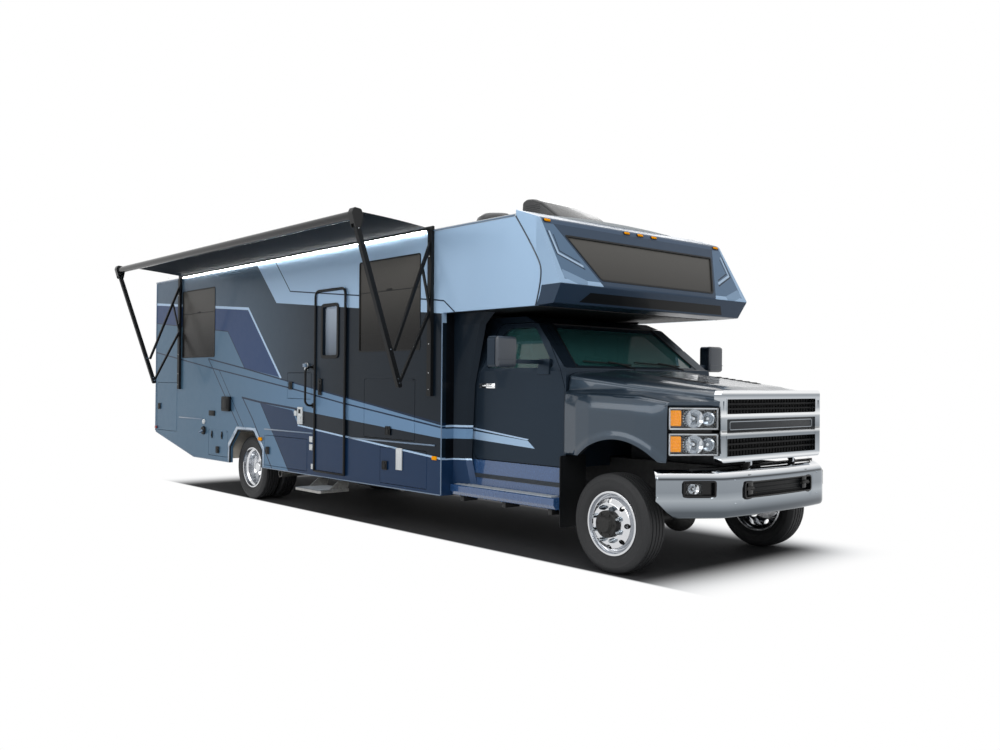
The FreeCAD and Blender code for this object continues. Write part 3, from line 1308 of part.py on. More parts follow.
def front_bumper():
    part = body("Bumper")
    plate = size.bumper_plate
    outer = [(size.bumper_tip_half, size.bumper_tip), (size.bumper_bend_half, size.bumper_face + 40, 200)]
    inner = [(size.bumper_bend_half - 6, size.bumper_face + 40 + plate, 190),
             (size.bumper_tip_half - plate, size.bumper_tip)]
    front = outer + [("via", 0, size.bumper_face)] + [(-size.bumper_bend_half, size.bumper_face + 40, 200),
            (-size.bumper_tip_half, size.bumper_tip), (-size.bumper_tip_half + plate, size.bumper_tip),
            (-size.bumper_bend_half + 6, size.bumper_face + 40 + plate, 190),
            ("via", 0, size.bumper_face + plate)] + inner
    pad(part, "XY_Plane", ("size.bumper_low", "size.bumper_high"), outline(front))
    through = ("size.bumper_face - 10", "size.bumper_face + 120")
    pocket(part, "XZ_Plane", through, rectangle(-size.bumper_slot_half, size.bumper_slot_half,
                                                size.bumper_slot_low, size.bumper_slot_high, 24))
    for side in (1, -1):
        lamp = rectangle(min(side * 778, side * 985), max(side * 778, side * 985), 672, 786, 16)
        pocket(part, "XZ_Plane", ("size.bumper_face - 10", "size.bumper_tip - 5"), lamp)
    for side in (1, -1):
        bracket = rectangle(min(side * 360, side * 430), max(side * 360, side * 430), 650, 830, 8)
        pad(part, "XZ_Plane", ("size.bumper_face + 25", "size.frame_front"), bracket)
    keep(part, "front_bumper")


# Running boards, rear fairings of the cab and the flaps behind the front wheels

def cab_steps():
    board = body("Board")
    half = size.board_half
    inner = size.cab_half_width - 90
    pad(board, "XZ_Plane", ("size.board_front", "size.board_rear"), outline([
        (inner, size.board_low), (half - 30, size.board_low, 20), (half, size.board_low + 40, 20),
        (half, size.board_high, 20), (size.cab_half_width + 12, size.board_high),
        (size.cab_half_width - 12, size.cab_sill - 4), (inner, size.cab_sill - 4)]))
    twin = mirror("BoardRight", board)
    keep(fuse("Boards", board, twin), "running_boards")
    # the fairing's front edge follows the path of the door's rear edge as the door swings out
    sections = (
        (size.board_high + size.seat_gap, size.door_rear - size.fairing_foot_forward),
        (size.door_low, door_sweep(size.door_rear + size.door_foot_back, size.door_low)),
        (size.door_waist, door_sweep(size.door_rear, size.door_waist)),
        (size.door_head, door_sweep(size.door_rear - size.door_head_forward, size.door_head)),
        (size.overhang_bottom - size.seat_gap, size.door_rear - size.fairing_head_forward))
    fairing = body("Fairing")
    drawings = []
    rear = size.coach_front - size.seat_gap
    near = size.cab_half_width + size.fairing_step
    for height, front in sections:
        drawing = sketch(fairing, "XY_Plane", str(height), outline([
            (near, front), (size.cab_half_width + size.fairing_nose, front + size.fairing_bevel),
            (size.cab_half_width + size.fairing_outreach, rear), (near, rear)]))
        drawings.append(drawing)
    loft = fairing.newObject("PartDesign::AdditiveLoft", "FairingLoft")
    loft.Profile = drawings[0]
    loft.Sections = drawings[1:]
    loft.Ruled = True
    keep(fuse("Fairings", fairing, mirror("FairingRight", fairing)), "cab_fairings")
    flap = body("Flap")
    pad(flap, "XZ_Plane", ("size.flap_y", "size.flap_y + 10"),
        rectangle(800, size.fender_half - 6, size.flap_low, size.flap_high, 20))
    pad(flap, "XZ_Plane", ("size.flap_y", "size.board_front"), rectangle(930, 1000, 560, 780, 4))
    keep(fuse("Flaps", flap, mirror("FlapRight", flap)), "mud_flaps")


# Entry door with its pane, grab handle and step

def entry():
    leaf = body("EntryLeaf")
    skin = "size.coach_half_width + size.entry_leaf_proud"
    pad(leaf, "YZ_Plane", ("size.coach_half_width - size.wall_thickness", skin), outline(doorway(0)))
    grow = 28
    ring = rectangle(size.entry_pane_start - grow, size.entry_pane_end + grow,
                     size.entry_pane_low - grow, size.entry_pane_high + grow, 50)
    pad(leaf, "YZ_Plane", (f"{skin} - 5", f"{skin} + 8"), ring)
    pocket(leaf, "YZ_Plane", ("size.coach_half_width - size.wall_thickness - 5", f"{skin} + 20"),
           entry_pane_edge())
    pad(leaf, "YZ_Plane", (f"{skin} - 5", f"{skin} + 14"), rectangle(4215, 4280, 1375, 1555, 12))
    axis = (size.coach_half_width + size.entry_frame_proud, size.entry_start - size.lid_gap / 2)
    leaf_face = size.coach_half_width + size.entry_leaf_proud
    for low in (700, 1450, 2200):
        span = (str(low), str(low + 120))
        pad(leaf, "XY_Plane", span, circle(axis[0], axis[1], size.lid_gap / 2 - size.seat_gap))
        pad(leaf, "XY_Plane", span, outline([
            (axis[0] + 2, axis[1]), (axis[0] + 2, axis[1] + 44), (leaf_face - 1, axis[1] + 44),
            (leaf_face - 1, axis[1] + 8), (axis[0] - 1, axis[1] + 8), (axis[0] - 1, axis[1])]))
    keep(mirror("EntryLeafTurned", leaf), "entry_door")
    pane = body("EntryPane")
    pad(pane, "YZ_Plane", ("size.coach_half_width - 26", "size.coach_half_width - 18"), entry_pane_edge())
    keep(mirror("EntryPaneTurned", pane), "entry_door_window")
    grab()
    step = body("Step")
    pad(step, "XY_Plane", ("318", "346"), rectangle(1180, 1570, 3790, 4320, 30))
    for place in (3830, 4260):
        pad(step, "XZ_Plane", (str(place), str(place + 10)), outline([
            (1150, size.entry_low - 24), (1225, size.entry_low - 24), (1225, size.skirt_bottom - 10),
            (1300, size.skirt_bottom - 10), (1420, 345), (1420, 319), (1190, 319)]))
    keep(mirror("StepTurned", step), "entry_step")


def entry_pane_edge():
    return rectangle(size.entry_pane_start, size.entry_pane_end, size.entry_pane_low, size.entry_pane_high, 30)


def grab():
    path = doc.addObject("Sketcher::SketchObject", "GrabPath")
    path.Placement = FreeCAD.Placement(
        FreeCAD.Vector(size.frame_x, 4428 + size.frame_y, 0), FreeCAD.Rotation(FreeCAD.Vector(1, 0, 0), 90))
    wall = -size.coach_half_width
    reach = wall - 105
    bend = 60
    low = 1250
    high = 1690
    slant = math.sqrt(0.5)
    path.addGeometry([
        Part.LineSegment(FreeCAD.Vector(wall, low, 0), FreeCAD.Vector(reach + bend, low, 0)),
        Part.Arc(FreeCAD.Vector(reach + bend, low, 0),
                 FreeCAD.Vector(reach + bend * (1 - slant), low + bend * (1 - slant), 0),
                 FreeCAD.Vector(reach, low + bend, 0)),
        Part.LineSegment(FreeCAD.Vector(reach, low + bend, 0), FreeCAD.Vector(reach, high - bend, 0)),
        Part.Arc(FreeCAD.Vector(reach, high - bend, 0),
                 FreeCAD.Vector(reach + bend * (1 - slant), high - bend * (1 - slant), 0),
                 FreeCAD.Vector(reach + bend, high, 0)),
        Part.LineSegment(FreeCAD.Vector(reach + bend, high, 0), FreeCAD.Vector(wall, high, 0)),
    ], False)
    ring = doc.addObject("Part::Circle", "GrabRing")
    ring.Radius = 13
    ring.Placement = FreeCAD.Placement(
        FreeCAD.Vector(wall + size.frame_x, 4428 + size.frame_y, low),
        FreeCAD.Rotation(FreeCAD.Vector(0, 1, 0), 90))
    tube = doc.addObject("Part::Sweep", "GrabTube")
    tube.Sections = [ring]
    tube.Spine = (path, [])
    tube.Solid = True
    tube.Frenet = True
    feet = [rod(f"GrabFoot{place}", "x", "24", (str(wall - 8), "4428", str(place)), "8") for place in (low, high)]
    keep(fuse("GrabWhole", tube, *feet), "grab_handle")


# Storage lids: each closes an opening of a side wall

def lid_hinge(lid, name):
    # a barrel in the gap beside the lid, and the leaf that carries it on the lid's face
    face = size.coach_half_width
    half_gap = size.lid_gap / 2
    radius = half_gap - size.seat_gap
    start, end, low, high = (getattr(size, f"{name}_{word}") for word in ("start", "end", "low", "high"))
    if lids[name] == "top":
        span = (str(start + 30), str(end - 30))
        axis = high + half_gap
        pad(lid, "XZ_Plane", span, circle(face, axis, radius))
        pad(lid, "XZ_Plane", span, rectangle(face, face + size.hinge_leaf_plate, axis - size.hinge_leaf, axis))
    else:
        span = (str(low + 20), str(high - 20))
        axis = start - half_gap
        pad(lid, "XY_Plane", span, circle(face, axis, radius))
        pad(lid, "XY_Plane", span, rectangle(face, face + size.hinge_leaf_plate, axis, axis + size.hinge_leaf))


def storage_lids():
    for hand, names in (("right", tuple(lids)), ("left", ("middle_locker", "rear_locker"))):
        for name in names:
            lid = body(f"Lid{hand}{name.title().replace('_', '')}")
            pad(lid, "YZ_Plane", ("size.coach_half_width - size.wall_thickness", "size.coach_half_width"),
                lid_opening(name, 0))
            middle = (getattr(size, f"{name}_low") + getattr(size, f"{name}_high")) / 2
            end = getattr(size, f"{name}_end") - 90
            if lids[name] == "top":
                middle = getattr(size, f"{name}_low") + 80
                end = (getattr(size, f"{name}_start") + getattr(size, f"{name}_end")) / 2 + 40
            pad(lid, "YZ_Plane", ("size.coach_half_width - 5", "size.coach_half_width + 10"),
                rectangle(end - 40, end + 40, middle - 42, middle + 42, 12))
            lid_hinge(lid, name)
            label = f"{name}_lid_{hand}"
            keep(mirror(f"Lid{hand}{name}Turned", lid) if hand == "right" else lid, label)


# Awning: rail and wall channels, folding arms, roller with its fabric drawn out

def bar(part, start, end, width, span):
    # a straight flat bar between two points of the arm's own plane
    along = FreeCAD.Vector(end[0] - start[0], end[1] - start[1], 0).normalize() * (width / 2)
    across = FreeCAD.Vector(-along.y, along.x, 0)
    first = FreeCAD.Vector(start[0], start[1], 0)
    last = FreeCAD.Vector(end[0], end[1], 0)
    corners = [first - along + across, first - along - across, last + along - across, last + along + across]
    pad(part, "XZ_Plane", span, outline([(point.x, point.y, width * 0.3) for point in corners]))


def awning():
    wall = -size.coach_half_width
    head = (-size.awning_head_out, size.awning_head_height)
    foot = (-size.awning_foot_out, size.awning_foot_height)
    high = size.awning_rail_height - 25
    arms = body("AwningArms")
    for place, turn in ((size.awning_front_arm, 1), (size.awning_rear_arm, -1)):
        channel = (str(place - size.channel_half), str(place + size.channel_half))
        pad(arms, "XZ_Plane", channel,
            rectangle(wall - size.channel_depth, wall, size.channel_low, high, 4))
        outer = (str(place - 24), str(place + 24))
        inner = (str(place - 14), str(place + 14))
        bar(arms, (head[0] + 6, head[1] - 84), foot, 46, outer)
        bar(arms, (wall - 24, 2880), (-1722, 1835), 28, inner)
        bar(arms, (-1396, 2612), (wall - 24, 2232), 16, inner)
        bar(arms, (wall - 24, 2222), (-1650, 1542), 26, inner)
    rail = rectangle(wall - 26, wall, size.awning_rail_height - 22, size.awning_rail_height + 22, 6)
    pad(arms, "XZ_Plane", ("size.awning_front_arm - size.channel_half", "size.awning_rear_arm + size.channel_half"), rail)
    keep(arms, "awning_arms")
    roller = body("Roller", str(head[0]), "0", str(head[1]))
    pad(roller, "XZ_Plane", ("size.awning_front_arm + 30", "size.awning_rear_arm - 30"),
        circle(0, 0, size.roller_radius))
    for place in (size.awning_front_arm, size.awning_rear_arm):
        pad(roller, "XZ_Plane", (str(place - 36), str(place + 36)), outline([
            (-62, 12, 30), (-40, 62, 24), (38, 52, 24), (62, 0, 20), (40, -120, 20), (-24, -120, 20)]))
        slot = 24 + size.seat_gap
        pocket(roller, "XZ_Plane", (str(place - slot), str(place + slot)), outline([
            (-60, -150), (-20, -54), (36, -54), (80, -150)]))
    keep(roller, "awning_roller")
    cloth = body("Fabric")
    start = (wall - 26 - size.seat_gap, size.awning_rail_height + 6)
    lift = size.roller_radius + 1
    end = (head[0] + 12, head[1] + lift)
    pad(cloth, "XZ_Plane", ("size.awning_front_arm + 45", "size.awning_rear_arm - 45"), outline([
        start, ("via", (start[0] + end[0]) / 2, (start[1] + end[1]) / 2 + 14), end,
        (end[0], end[1] + 5), ("via", (start[0] + end[0]) / 2, (start[1] + end[1]) / 2 + 19),
        (start[0], start[1] + 5)]))
    keep(cloth, "awning_fabric")


# Roof equipment, hitch receiver with its crossbar, and the tail lamps

def roof_height(x):
    # height of the crowned roof above a point across it
    rise = size.roof_crown - size.roof_edge - 24
    radius = (size.coach_half_width ** 2 + rise ** 2) / (2 * rise)
    return size.roof_crown - radius + math.sqrt(radius ** 2 - x ** 2)


def roof_gear():
    unit = body("AirUnit")
    high = size.roof_crown + size.air_unit_height
    pad(unit, "YZ_Plane", ("-size.air_unit_half", "size.air_unit_half"), outline([
        (size.air_unit_front, size.roof_crown + size.seat_gap), (size.air_unit_front + 30, size.roof_crown + 70, 30),
        (size.air_unit_front + 420, high - 30, 200), (size.air_unit_front + 640, high, 300),
        (size.air_unit_rear - 40, high - 12, 50), (size.air_unit_rear, size.roof_crown + 60, 30),
        (size.air_unit_rear, size.roof_crown + size.seat_gap)]))
    dome = doc.addObject("Part::Cylinder", "DomeBase")
    dome.setExpression("Radius", "size.dome_radius")
    dome.setExpression("Height", "size.dome_height - 120")
    dome.setExpression("Placement.Base.x", "size.frame_x")
    dome.setExpression("Placement.Base.y", "size.dome_centre + size.frame_y")
    dome.setExpression("Placement.Base.z", "size.roof_crown + size.seat_gap")
    cap = doc.addObject("Part::Cone", "DomeTop")
    cap.setExpression("Radius1", "size.dome_radius")
    cap.setExpression("Radius2", "size.dome_radius - 70")
    cap.Height = 120
    cap.setExpression("Placement.Base.x", "size.frame_x")
    cap.setExpression("Placement.Base.y", "size.dome_centre + size.frame_y")
    cap.setExpression("Placement.Base.z", "size.roof_crown + size.dome_height - 120 + size.seat_gap")
    keep(fuse("RoofUnits", unit, dome, cap), "roof_units")


def rear_end():
    part = body("Hitch")
    height = size.receiver_height
    pad(part, "XZ_Plane", ("size.frame_rear - 150", "size.frame_rear - 70"),
        rectangle(-size.rail_outer_half, size.rail_outer_half, height - 45, size.rail_bottom))
    outer = size.receiver_outer_half
    pad(part, "XZ_Plane", ("size.frame_rear - 240", "size.receiver_end"),
        rectangle(-outer, outer, height - outer, height + outer, 6))
    inner = size.receiver_inner_half
    pocket(part, "XZ_Plane", ("size.frame_rear - 250", "size.receiver_end + 5"),
           rectangle(-inner, inner, height - inner, height + inner, 3))
    pocket(part, "YZ_Plane", ("-size.receiver_outer_half - 5", "size.receiver_outer_half + 5"),
           circle(size.receiver_end - size.pin_hole_back, height, size.pin_hole_radius))
    keep(part, "hitch_receiver")
    lamps = body("TailLamps")
    for side in (1, -1):
        span = sorted((side * (size.coach_half_width - 60), side * (size.coach_half_width - 220)))
        pad(lamps, "XZ_Plane", ("size.coach_rear", "size.coach_rear + 24"),
            rectangle(span[0], span[1], 1010, 1330, 20))
    keep(lamps, "tail_lamps")


frame_rails()
front_axle()
rear_axle()
steering_knuckle()
wheels()
driveline()
exhaust()
side_walls()
coach_box()
coach_floor()
overcab_cap()
coach_windows()
truck_cab()
cab_interior()
hood()
grille()
headlamps()
front_bumper()
cab_steps()
entry()
storage_lids()
awning()
roof_gear()
rear_end()

doc.recompute()
for item in doc.Objects:
    if "Invalid" in item.State or "Error" in item.State:
        raise RuntimeError(f"{item.Name} did not build: {item.State}")
os.makedirs("parts", exist_ok=True)
for piece in nodes:
    shape = piece.Shape
    if shape.isNull() or not shape.isValid():
        raise RuntimeError(f"{piece.Label} has no valid shape")
    shape.exportStep(f"parts/{piece.Label}.step")
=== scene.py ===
import math
import bpy
import bmesh
from mathutils import Matrix, Vector
from mathutils.bvhtree import BVHTree
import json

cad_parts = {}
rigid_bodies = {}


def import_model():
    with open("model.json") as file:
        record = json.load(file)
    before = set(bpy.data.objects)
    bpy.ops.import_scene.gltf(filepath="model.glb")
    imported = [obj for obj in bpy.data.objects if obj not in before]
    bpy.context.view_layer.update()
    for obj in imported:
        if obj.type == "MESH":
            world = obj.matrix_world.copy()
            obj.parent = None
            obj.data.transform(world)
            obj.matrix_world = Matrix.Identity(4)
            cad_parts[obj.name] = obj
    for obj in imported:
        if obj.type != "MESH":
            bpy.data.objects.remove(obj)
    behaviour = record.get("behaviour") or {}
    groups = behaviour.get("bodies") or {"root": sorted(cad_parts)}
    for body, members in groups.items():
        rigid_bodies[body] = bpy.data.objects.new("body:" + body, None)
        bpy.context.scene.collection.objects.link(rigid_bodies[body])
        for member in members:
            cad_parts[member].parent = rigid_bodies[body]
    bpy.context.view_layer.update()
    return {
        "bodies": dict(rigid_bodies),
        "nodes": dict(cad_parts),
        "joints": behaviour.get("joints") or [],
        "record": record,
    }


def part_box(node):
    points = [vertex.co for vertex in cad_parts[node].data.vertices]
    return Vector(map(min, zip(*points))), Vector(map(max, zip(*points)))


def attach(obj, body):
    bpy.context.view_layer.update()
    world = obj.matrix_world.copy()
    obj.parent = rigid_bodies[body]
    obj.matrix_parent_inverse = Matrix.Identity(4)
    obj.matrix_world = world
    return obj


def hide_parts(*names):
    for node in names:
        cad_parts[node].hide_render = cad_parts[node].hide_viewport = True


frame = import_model()
nodes = frame["nodes"]
spins = {joint["name"]: Vector(joint["pos_m"]) for joint in frame["joints"] if joint["name"].endswith("_spin")}
leftHub, rightHub, rearHub = (spins[f"{name}_spin"] for name in
                              ("front_wheel_left", "front_wheel_right", "rear_wheels_left"))
middleX = (leftHub.x + rightHub.x) / 2
axleY = leftHub.y
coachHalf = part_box("side_wall_left")[1].x - middleX


def at(x, y, z):
    # a point given from the ground under the front axle, in the row frame
    return Vector((x + middleX, y + axleY, z))


# Shader helpers

def feed(tree, value, socket):
    # another node's output is linked to the socket, anything else is set on it
    if isinstance(value, bpy.types.NodeSocket):
        tree.links.new(value, socket)
    else:
        socket.default_value = value


def addNode(tree, kind, inputs=(), **settings):
    node = tree.nodes.new(f"ShaderNode{kind}")
    for label, value in settings.items():
        setattr(node, label, value)
    for label, value in dict(inputs).items():
        feed(tree, value, node.inputs[label])
    return node


def mathNode(tree, operation, first, second=None):
    inputs = {0: first} if second is None else {0: first, 1: second}
    return addNode(tree, "Math", inputs, operation=operation).outputs[0]


def softStep(tree, value, low, high):
    node = addNode(tree, "MapRange", {"Value": value, "From Min": low, "From Max": high}, interpolation_type="SMOOTHSTEP")
    return node.outputs["Result"]


def mixColour(tree, first, second, share):
    return addNode(tree, "Mix", {"A": first, "B": second, "Factor": share}, data_type="RGBA").outputs["Result"]


def mixShaders(tree, first, second, share, output):
    mix = addNode(tree, "MixShader", {1: first, 2: second, "Fac": share})
    tree.links.new(mix.outputs[0], tree.nodes[output].inputs["Surface"])


def objectAxes(tree):
    coords = addNode(tree, "TexCoord")
    return addNode(tree, "SeparateXYZ", {0: coords.outputs["Object"]}).outputs


def seenRays(tree):
    # 1 for what the camera sees straight, through glass or mirrored
    rays = addNode(tree, "LightPath").outputs
    seen = mathNode(tree, "MAXIMUM", rays["Is Camera Ray"], rays["Is Transmission Ray"])
    return mathNode(tree, "MAXIMUM", seen, rays["Is Glossy Ray"])


def newMaterial(name):
    material = bpy.data.materials.new(name)
    material.use_nodes = True
    return material, material.node_tree


def dress(tree, values):
    shader = tree.nodes["Principled BSDF"]
    for label, value in values.items():
        feed(tree, value, shader.inputs[label])


# Camera, light and floor

cameraView = {"place": (-6.782, -5.083, 1.536), "yaw": -41.2894, "pitch": 0.4397, "roll": 0.4958, "lens": 33.75}
studio = {
    "keyPower": 900, "fillPower": 420, "rearPower": 380, "floorColour": (0.86, 0.87, 0.88, 1), "floorSize": 60,
    "skyLow": (0.80, 0.83, 0.87, 1), "skyHigh": (0.50, 0.56, 0.64, 1), "skySpan": (0.48, 0.85), "skyStrength": 0.62,
}
# each edge of the painted shadow on the ground: where it starts and where it is full, from under the front axle
shadow = {"tone": (0.05, 0.05, 0.052, 1), "right": (-1.20, -1.14), "left": (1.85, 1.05),
          "front": (-1.1, -0.25), "rear": (9.3, 8.1)}


def placeCamera():
    yaw, pitch, roll = (math.radians(cameraView[key]) for key in ("yaw", "pitch", "roll"))
    forward = Vector((-math.sin(yaw) * math.cos(pitch), math.cos(yaw) * math.cos(pitch), math.sin(pitch)))
    level = Vector((math.cos(yaw), math.sin(yaw), 0))
    up = level.cross(forward)
    right = math.cos(roll) * level + math.sin(roll) * up
    top = -math.sin(roll) * level + math.cos(roll) * up
    data = bpy.data.cameras.new("Camera")
    data.sensor_width = 36
    data.lens = cameraView["lens"]
    data.clip_end = 200
    camera = bpy.data.objects.new("Camera", data)
    bpy.context.scene.collection.objects.link(camera)
    place = Matrix.Translation(at(*cameraView["place"]))
    camera.matrix_world = place @ Matrix((right, top, -forward)).transposed().to_4x4()
    bpy.context.scene.camera = camera


def addArea(name, place, target, width, height, power):
    data = bpy.data.lights.new(name, "AREA")
    data.shape = "RECTANGLE"
    data.size = width
    data.size_y = height
    data.energy = power
    lamp = bpy.data.objects.new(name, data)
    lamp.location = at(*place)
    lamp.rotation_euler = (at(*target) - lamp.location).to_track_quat("-Z", "Y").to_euler()
    bpy.context.scene.collection.objects.link(lamp)


def lightStudio():
    addArea("KeyLight", (-9, -9, 10), (0, 2, 1), 9, 7, studio["keyPower"])
    addArea("SideLight", (-13, 6, 7), (0, 5, 1.5), 12, 5, studio["fillPower"])
    addArea("RearLight", (9, 12, 9), (0, 4, 1.5), 10, 6, studio["rearPower"])
    addArea("TopLight", (0, 3, 13), (0, 3, 0), 12, 12, studio["rearPower"])
    world = bpy.data.worlds.new("Studio")
    bpy.context.scene.world = world
    world.use_nodes = True
    tree = world.node_tree
    direction = addNode(tree, "TexCoord").outputs["Generated"]
    height = addNode(tree, "SeparateXYZ", {0: direction}).outputs["Z"]
    share = addNode(tree, "MapRange", {"Value": height, "From Min": -1}).outputs["Result"]
    ramp = addNode(tree, "ValToRGB", {"Fac": share})
    for stop, position, key in zip(ramp.color_ramp.elements, studio["skySpan"], ("skyLow", "skyHigh")):
        stop.position = position
        stop.color = studio[key]
    sky = tree.nodes["Background"]
    feed(tree, ramp.outputs["Color"], sky.inputs["Color"])
    feed(tree, studio["skyStrength"], sky.inputs["Strength"])
    white = addNode(tree, "Background", {"Color": (1, 1, 1, 1), "Strength": 1})
    mixShaders(tree, sky.outputs[0], white.outputs[0], seenRays(tree), "World Output")


def layFloor():
    # white to the camera, a painted shadow under the vehicle, and a plain pale floor to all other light
    bm = bmesh.new()
    bmesh.ops.create_grid(bm, x_segments=1, y_segments=1, size=studio["floorSize"])
    mesh = bpy.data.meshes.new("Floor")
    bm.to_mesh(mesh)
    bm.free()
    floor = bpy.data.objects.new("Floor", mesh)
    bpy.context.scene.collection.objects.link(floor)
    material, tree = newMaterial("FloorMatte")
    axes = objectAxes(tree)
    inside = 1.0
    for key, axis, shift in (("right", "X", middleX), ("left", "X", middleX), ("front", "Y", axleY), ("rear", "Y", axleY)):
        start, end = shadow[key]
        inside = mathNode(tree, "MULTIPLY", inside, softStep(tree, axes[axis], start + shift, end + shift))
    seen = seenRays(tree)
    # painted shadow: the dark tone where the camera looks into the patch
    tone = mixColour(tree, studio["floorColour"], shadow["tone"], mathNode(tree, "MULTIPLY", inside, seen))
    dress(tree, {"Base Color": tone, "Roughness": 0.85, "Specular IOR Level": 0.1})
    white = addNode(tree, "Emission", {"Color": (1, 1, 1, 1)})
    outside = mathNode(tree, "MULTIPLY", mathNode(tree, "SUBTRACT", 1.0, inside), seen)
    mixShaders(tree, tree.nodes["Principled BSDF"].outputs[0], white.outputs[0], outside, "Material Output")
    mesh.materials.append(material)


bpy.context.scene.view_settings.view_transform = "Standard"
placeCamera()
lightStudio()
layFloor()
print("scene: camera, light and floor")


# Materials

def linear(colour):
    # a colour written as six hex digits, in the renderer's linear values
    parts = [int(colour[index:index + 2], 16) / 255 for index in (0, 2, 4)]
    return (*(part / 12.92 if part <= 0.04045 else ((part + 0.055) / 1.055) ** 2.4 for part in parts), 1)


def makeGroup(name, inputs, outputs):
    group = bpy.data.node_groups.new(name, "ShaderNodeTree")
    for label, kind, value in inputs:
        socket = group.interface.new_socket(label, in_out="INPUT", socket_type=f"NodeSocket{kind}")
        socket.default_value = value
    for label in outputs:
        group.interface.new_socket(label, in_out="OUTPUT", socket_type="NodeSocketFloat")
    return group, group.nodes.new("NodeGroupInput").outputs, group.nodes.new("NodeGroupOutput").inputs


def makePatchGroup():
    # 1 inside a convex patch given by its four sides, each as (a, b, c) with a*u + b*v + c > 0 inside
    labels = [f"Side {number}" for number in range(1, 5)]
    inputs = [(label, "Vector", (0, 0, 1)) for label in ["Place", *labels]]
    group, given, result = makeGroup("PaintPatch", inputs, ["Mask"])
    least = 1000.0
    for label in labels:
        side = addNode(group, "VectorMath", {0: given["Place"], 1: given[label]}, operation="DOT_PRODUCT")
        least = mathNode(group, "MINIMUM", least, side.outputs["Value"])
    feed(group, mathNode(group, "GREATER_THAN", least, 0.0), result["Mask"])
    return group


def makeGrainGroup():
    # fine mottling for roughness, and a height for orange peel, grain or dust
    group, given, result = makeGroup(
        "SurfaceGrain",
        [("Place", "Vector", (0, 0, 0)), ("Scale", "Float", 40.0), ("Detail", "Float", 3.0),
         ("Low", "Float", 0.2), ("High", "Float", 0.3)],
        ["Roughness", "Height", "Mask"])
    noise = addNode(group, "TexNoise", {"Vector": given["Place"], "Scale": given["Scale"], "Detail": given["Detail"]})
    height = noise.outputs["Fac"]
    spread = addNode(group, "MapRange", {
        "Value": height, "From Min": 0.3, "From Max": 0.7, "To Min": given["Low"], "To Max": given["High"]})
    clear = addNode(group, "MapRange", {"Value": height, "From Min": 0.35, "From Max": 0.65})
    feed(group, spread.outputs["Result"], result["Roughness"])
    feed(group, height, result["Height"])
    feed(group, clear.outputs["Result"], result["Mask"])
    return group


patchGroup = makePatchGroup()
grainGroup = makeGrainGroup()


def grainOf(tree, scale, low, high, detail=3.0):
    place = addNode(tree, "TexCoord").outputs["Object"]
    values = {"Place": place, "Scale": scale, "Detail": detail, "Low": low, "High": high}
    return addNode(tree, "Group", values, node_tree=grainGroup).outputs


def makeSurface(name, colour, low, high, scale=40.0, bump=0.0, metallic=0.0, coat=0.0, shade=0.0, **more):
    # a Principled material with mottled roughness, optional colour mottling and bump
    material, tree = newMaterial(name)
    grain = grainOf(tree, scale, low, high)
    hue = linear(colour)
    if shade:
        dark, light = ((*(min(part * (1 + step), 1) for part in hue[:3]), 1) for step in (-shade, shade))
        hue = mixColour(tree, dark, light, grain["Mask"])
    values = {"Base Color": hue, "Roughness": grain["Roughness"], "Metallic": metallic,
              "Coat Weight": coat, "Coat Roughness": 0.04}
    if bump:
        relief = addNode(tree, "Bump", {"Strength": 1, "Distance": bump, "Height": grain["Height"]})
        values["Normal"] = relief.outputs["Normal"]
    values.update({label.replace("_", " "): value for label, value in more.items()})
    dress(tree, values)
    return material


# Paint patterns: each patch is convex, its corners given along and up the wall from under the front axle

paint = {
    "steel": "6a8aaa", "steelRear": "49687f", "light": "9fbad4", "lightLine": "aec6df", "charcoal": "101b25",
    # cab: the hood's paint darkened, a painted reflection of dark ground on the cab and its doors
    "slate": "465a6c", "night": "101a24", "navy": "1f3c66", "navyLow": "16304f", "line": "10243c", "cab": "232f3b",
    "wallBase": ("steel", "steelRear", 2.0, 8.0), "dusk": ("charcoal", "slate", 3.6, 7.2),
}


def sidesOf(corners):
    # the four sides of a convex patch, whichever way round its corners are listed
    area = sum(a[0] * b[1] - b[0] * a[1] for a, b in zip(corners, corners[1:] + corners[:1]))
    if area < 0:
        corners = corners[::-1]
    sides = []
    for first, second in zip(corners, corners[1:] + corners[:1]):
        along = Vector((second[0] - first[0], second[1] - first[1])).normalized()
        sides.append((-along.y, along.x, along.y * first[0] - along.x * first[1]))
    return sides + [sides[-1]] * (4 - len(sides))


def ribbon(width, *points):
    # a stripe of even width along a bent line, as one patch for each run
    line = [Vector(point) for point in points]
    runs = [(second - first).normalized() for first, second in zip(line, line[1:])]
    rims = []
    for point, before, after in zip(line, [runs[0], *runs], [*runs, runs[-1]]):
        across = (before + after).normalized().orthogonal()
        lean = abs(across.dot(before.orthogonal()))
        rims.append((tuple(point + across * width / 2 / lean), tuple(point - across * width / 2 / lean)))
    return [[*first, *reversed(second)] for first, second in zip(rims, rims[1:])]


def band(low, high, reach=4.0):
    return [[(-reach, low), (reach, low), (reach, high), (-reach, high)]]


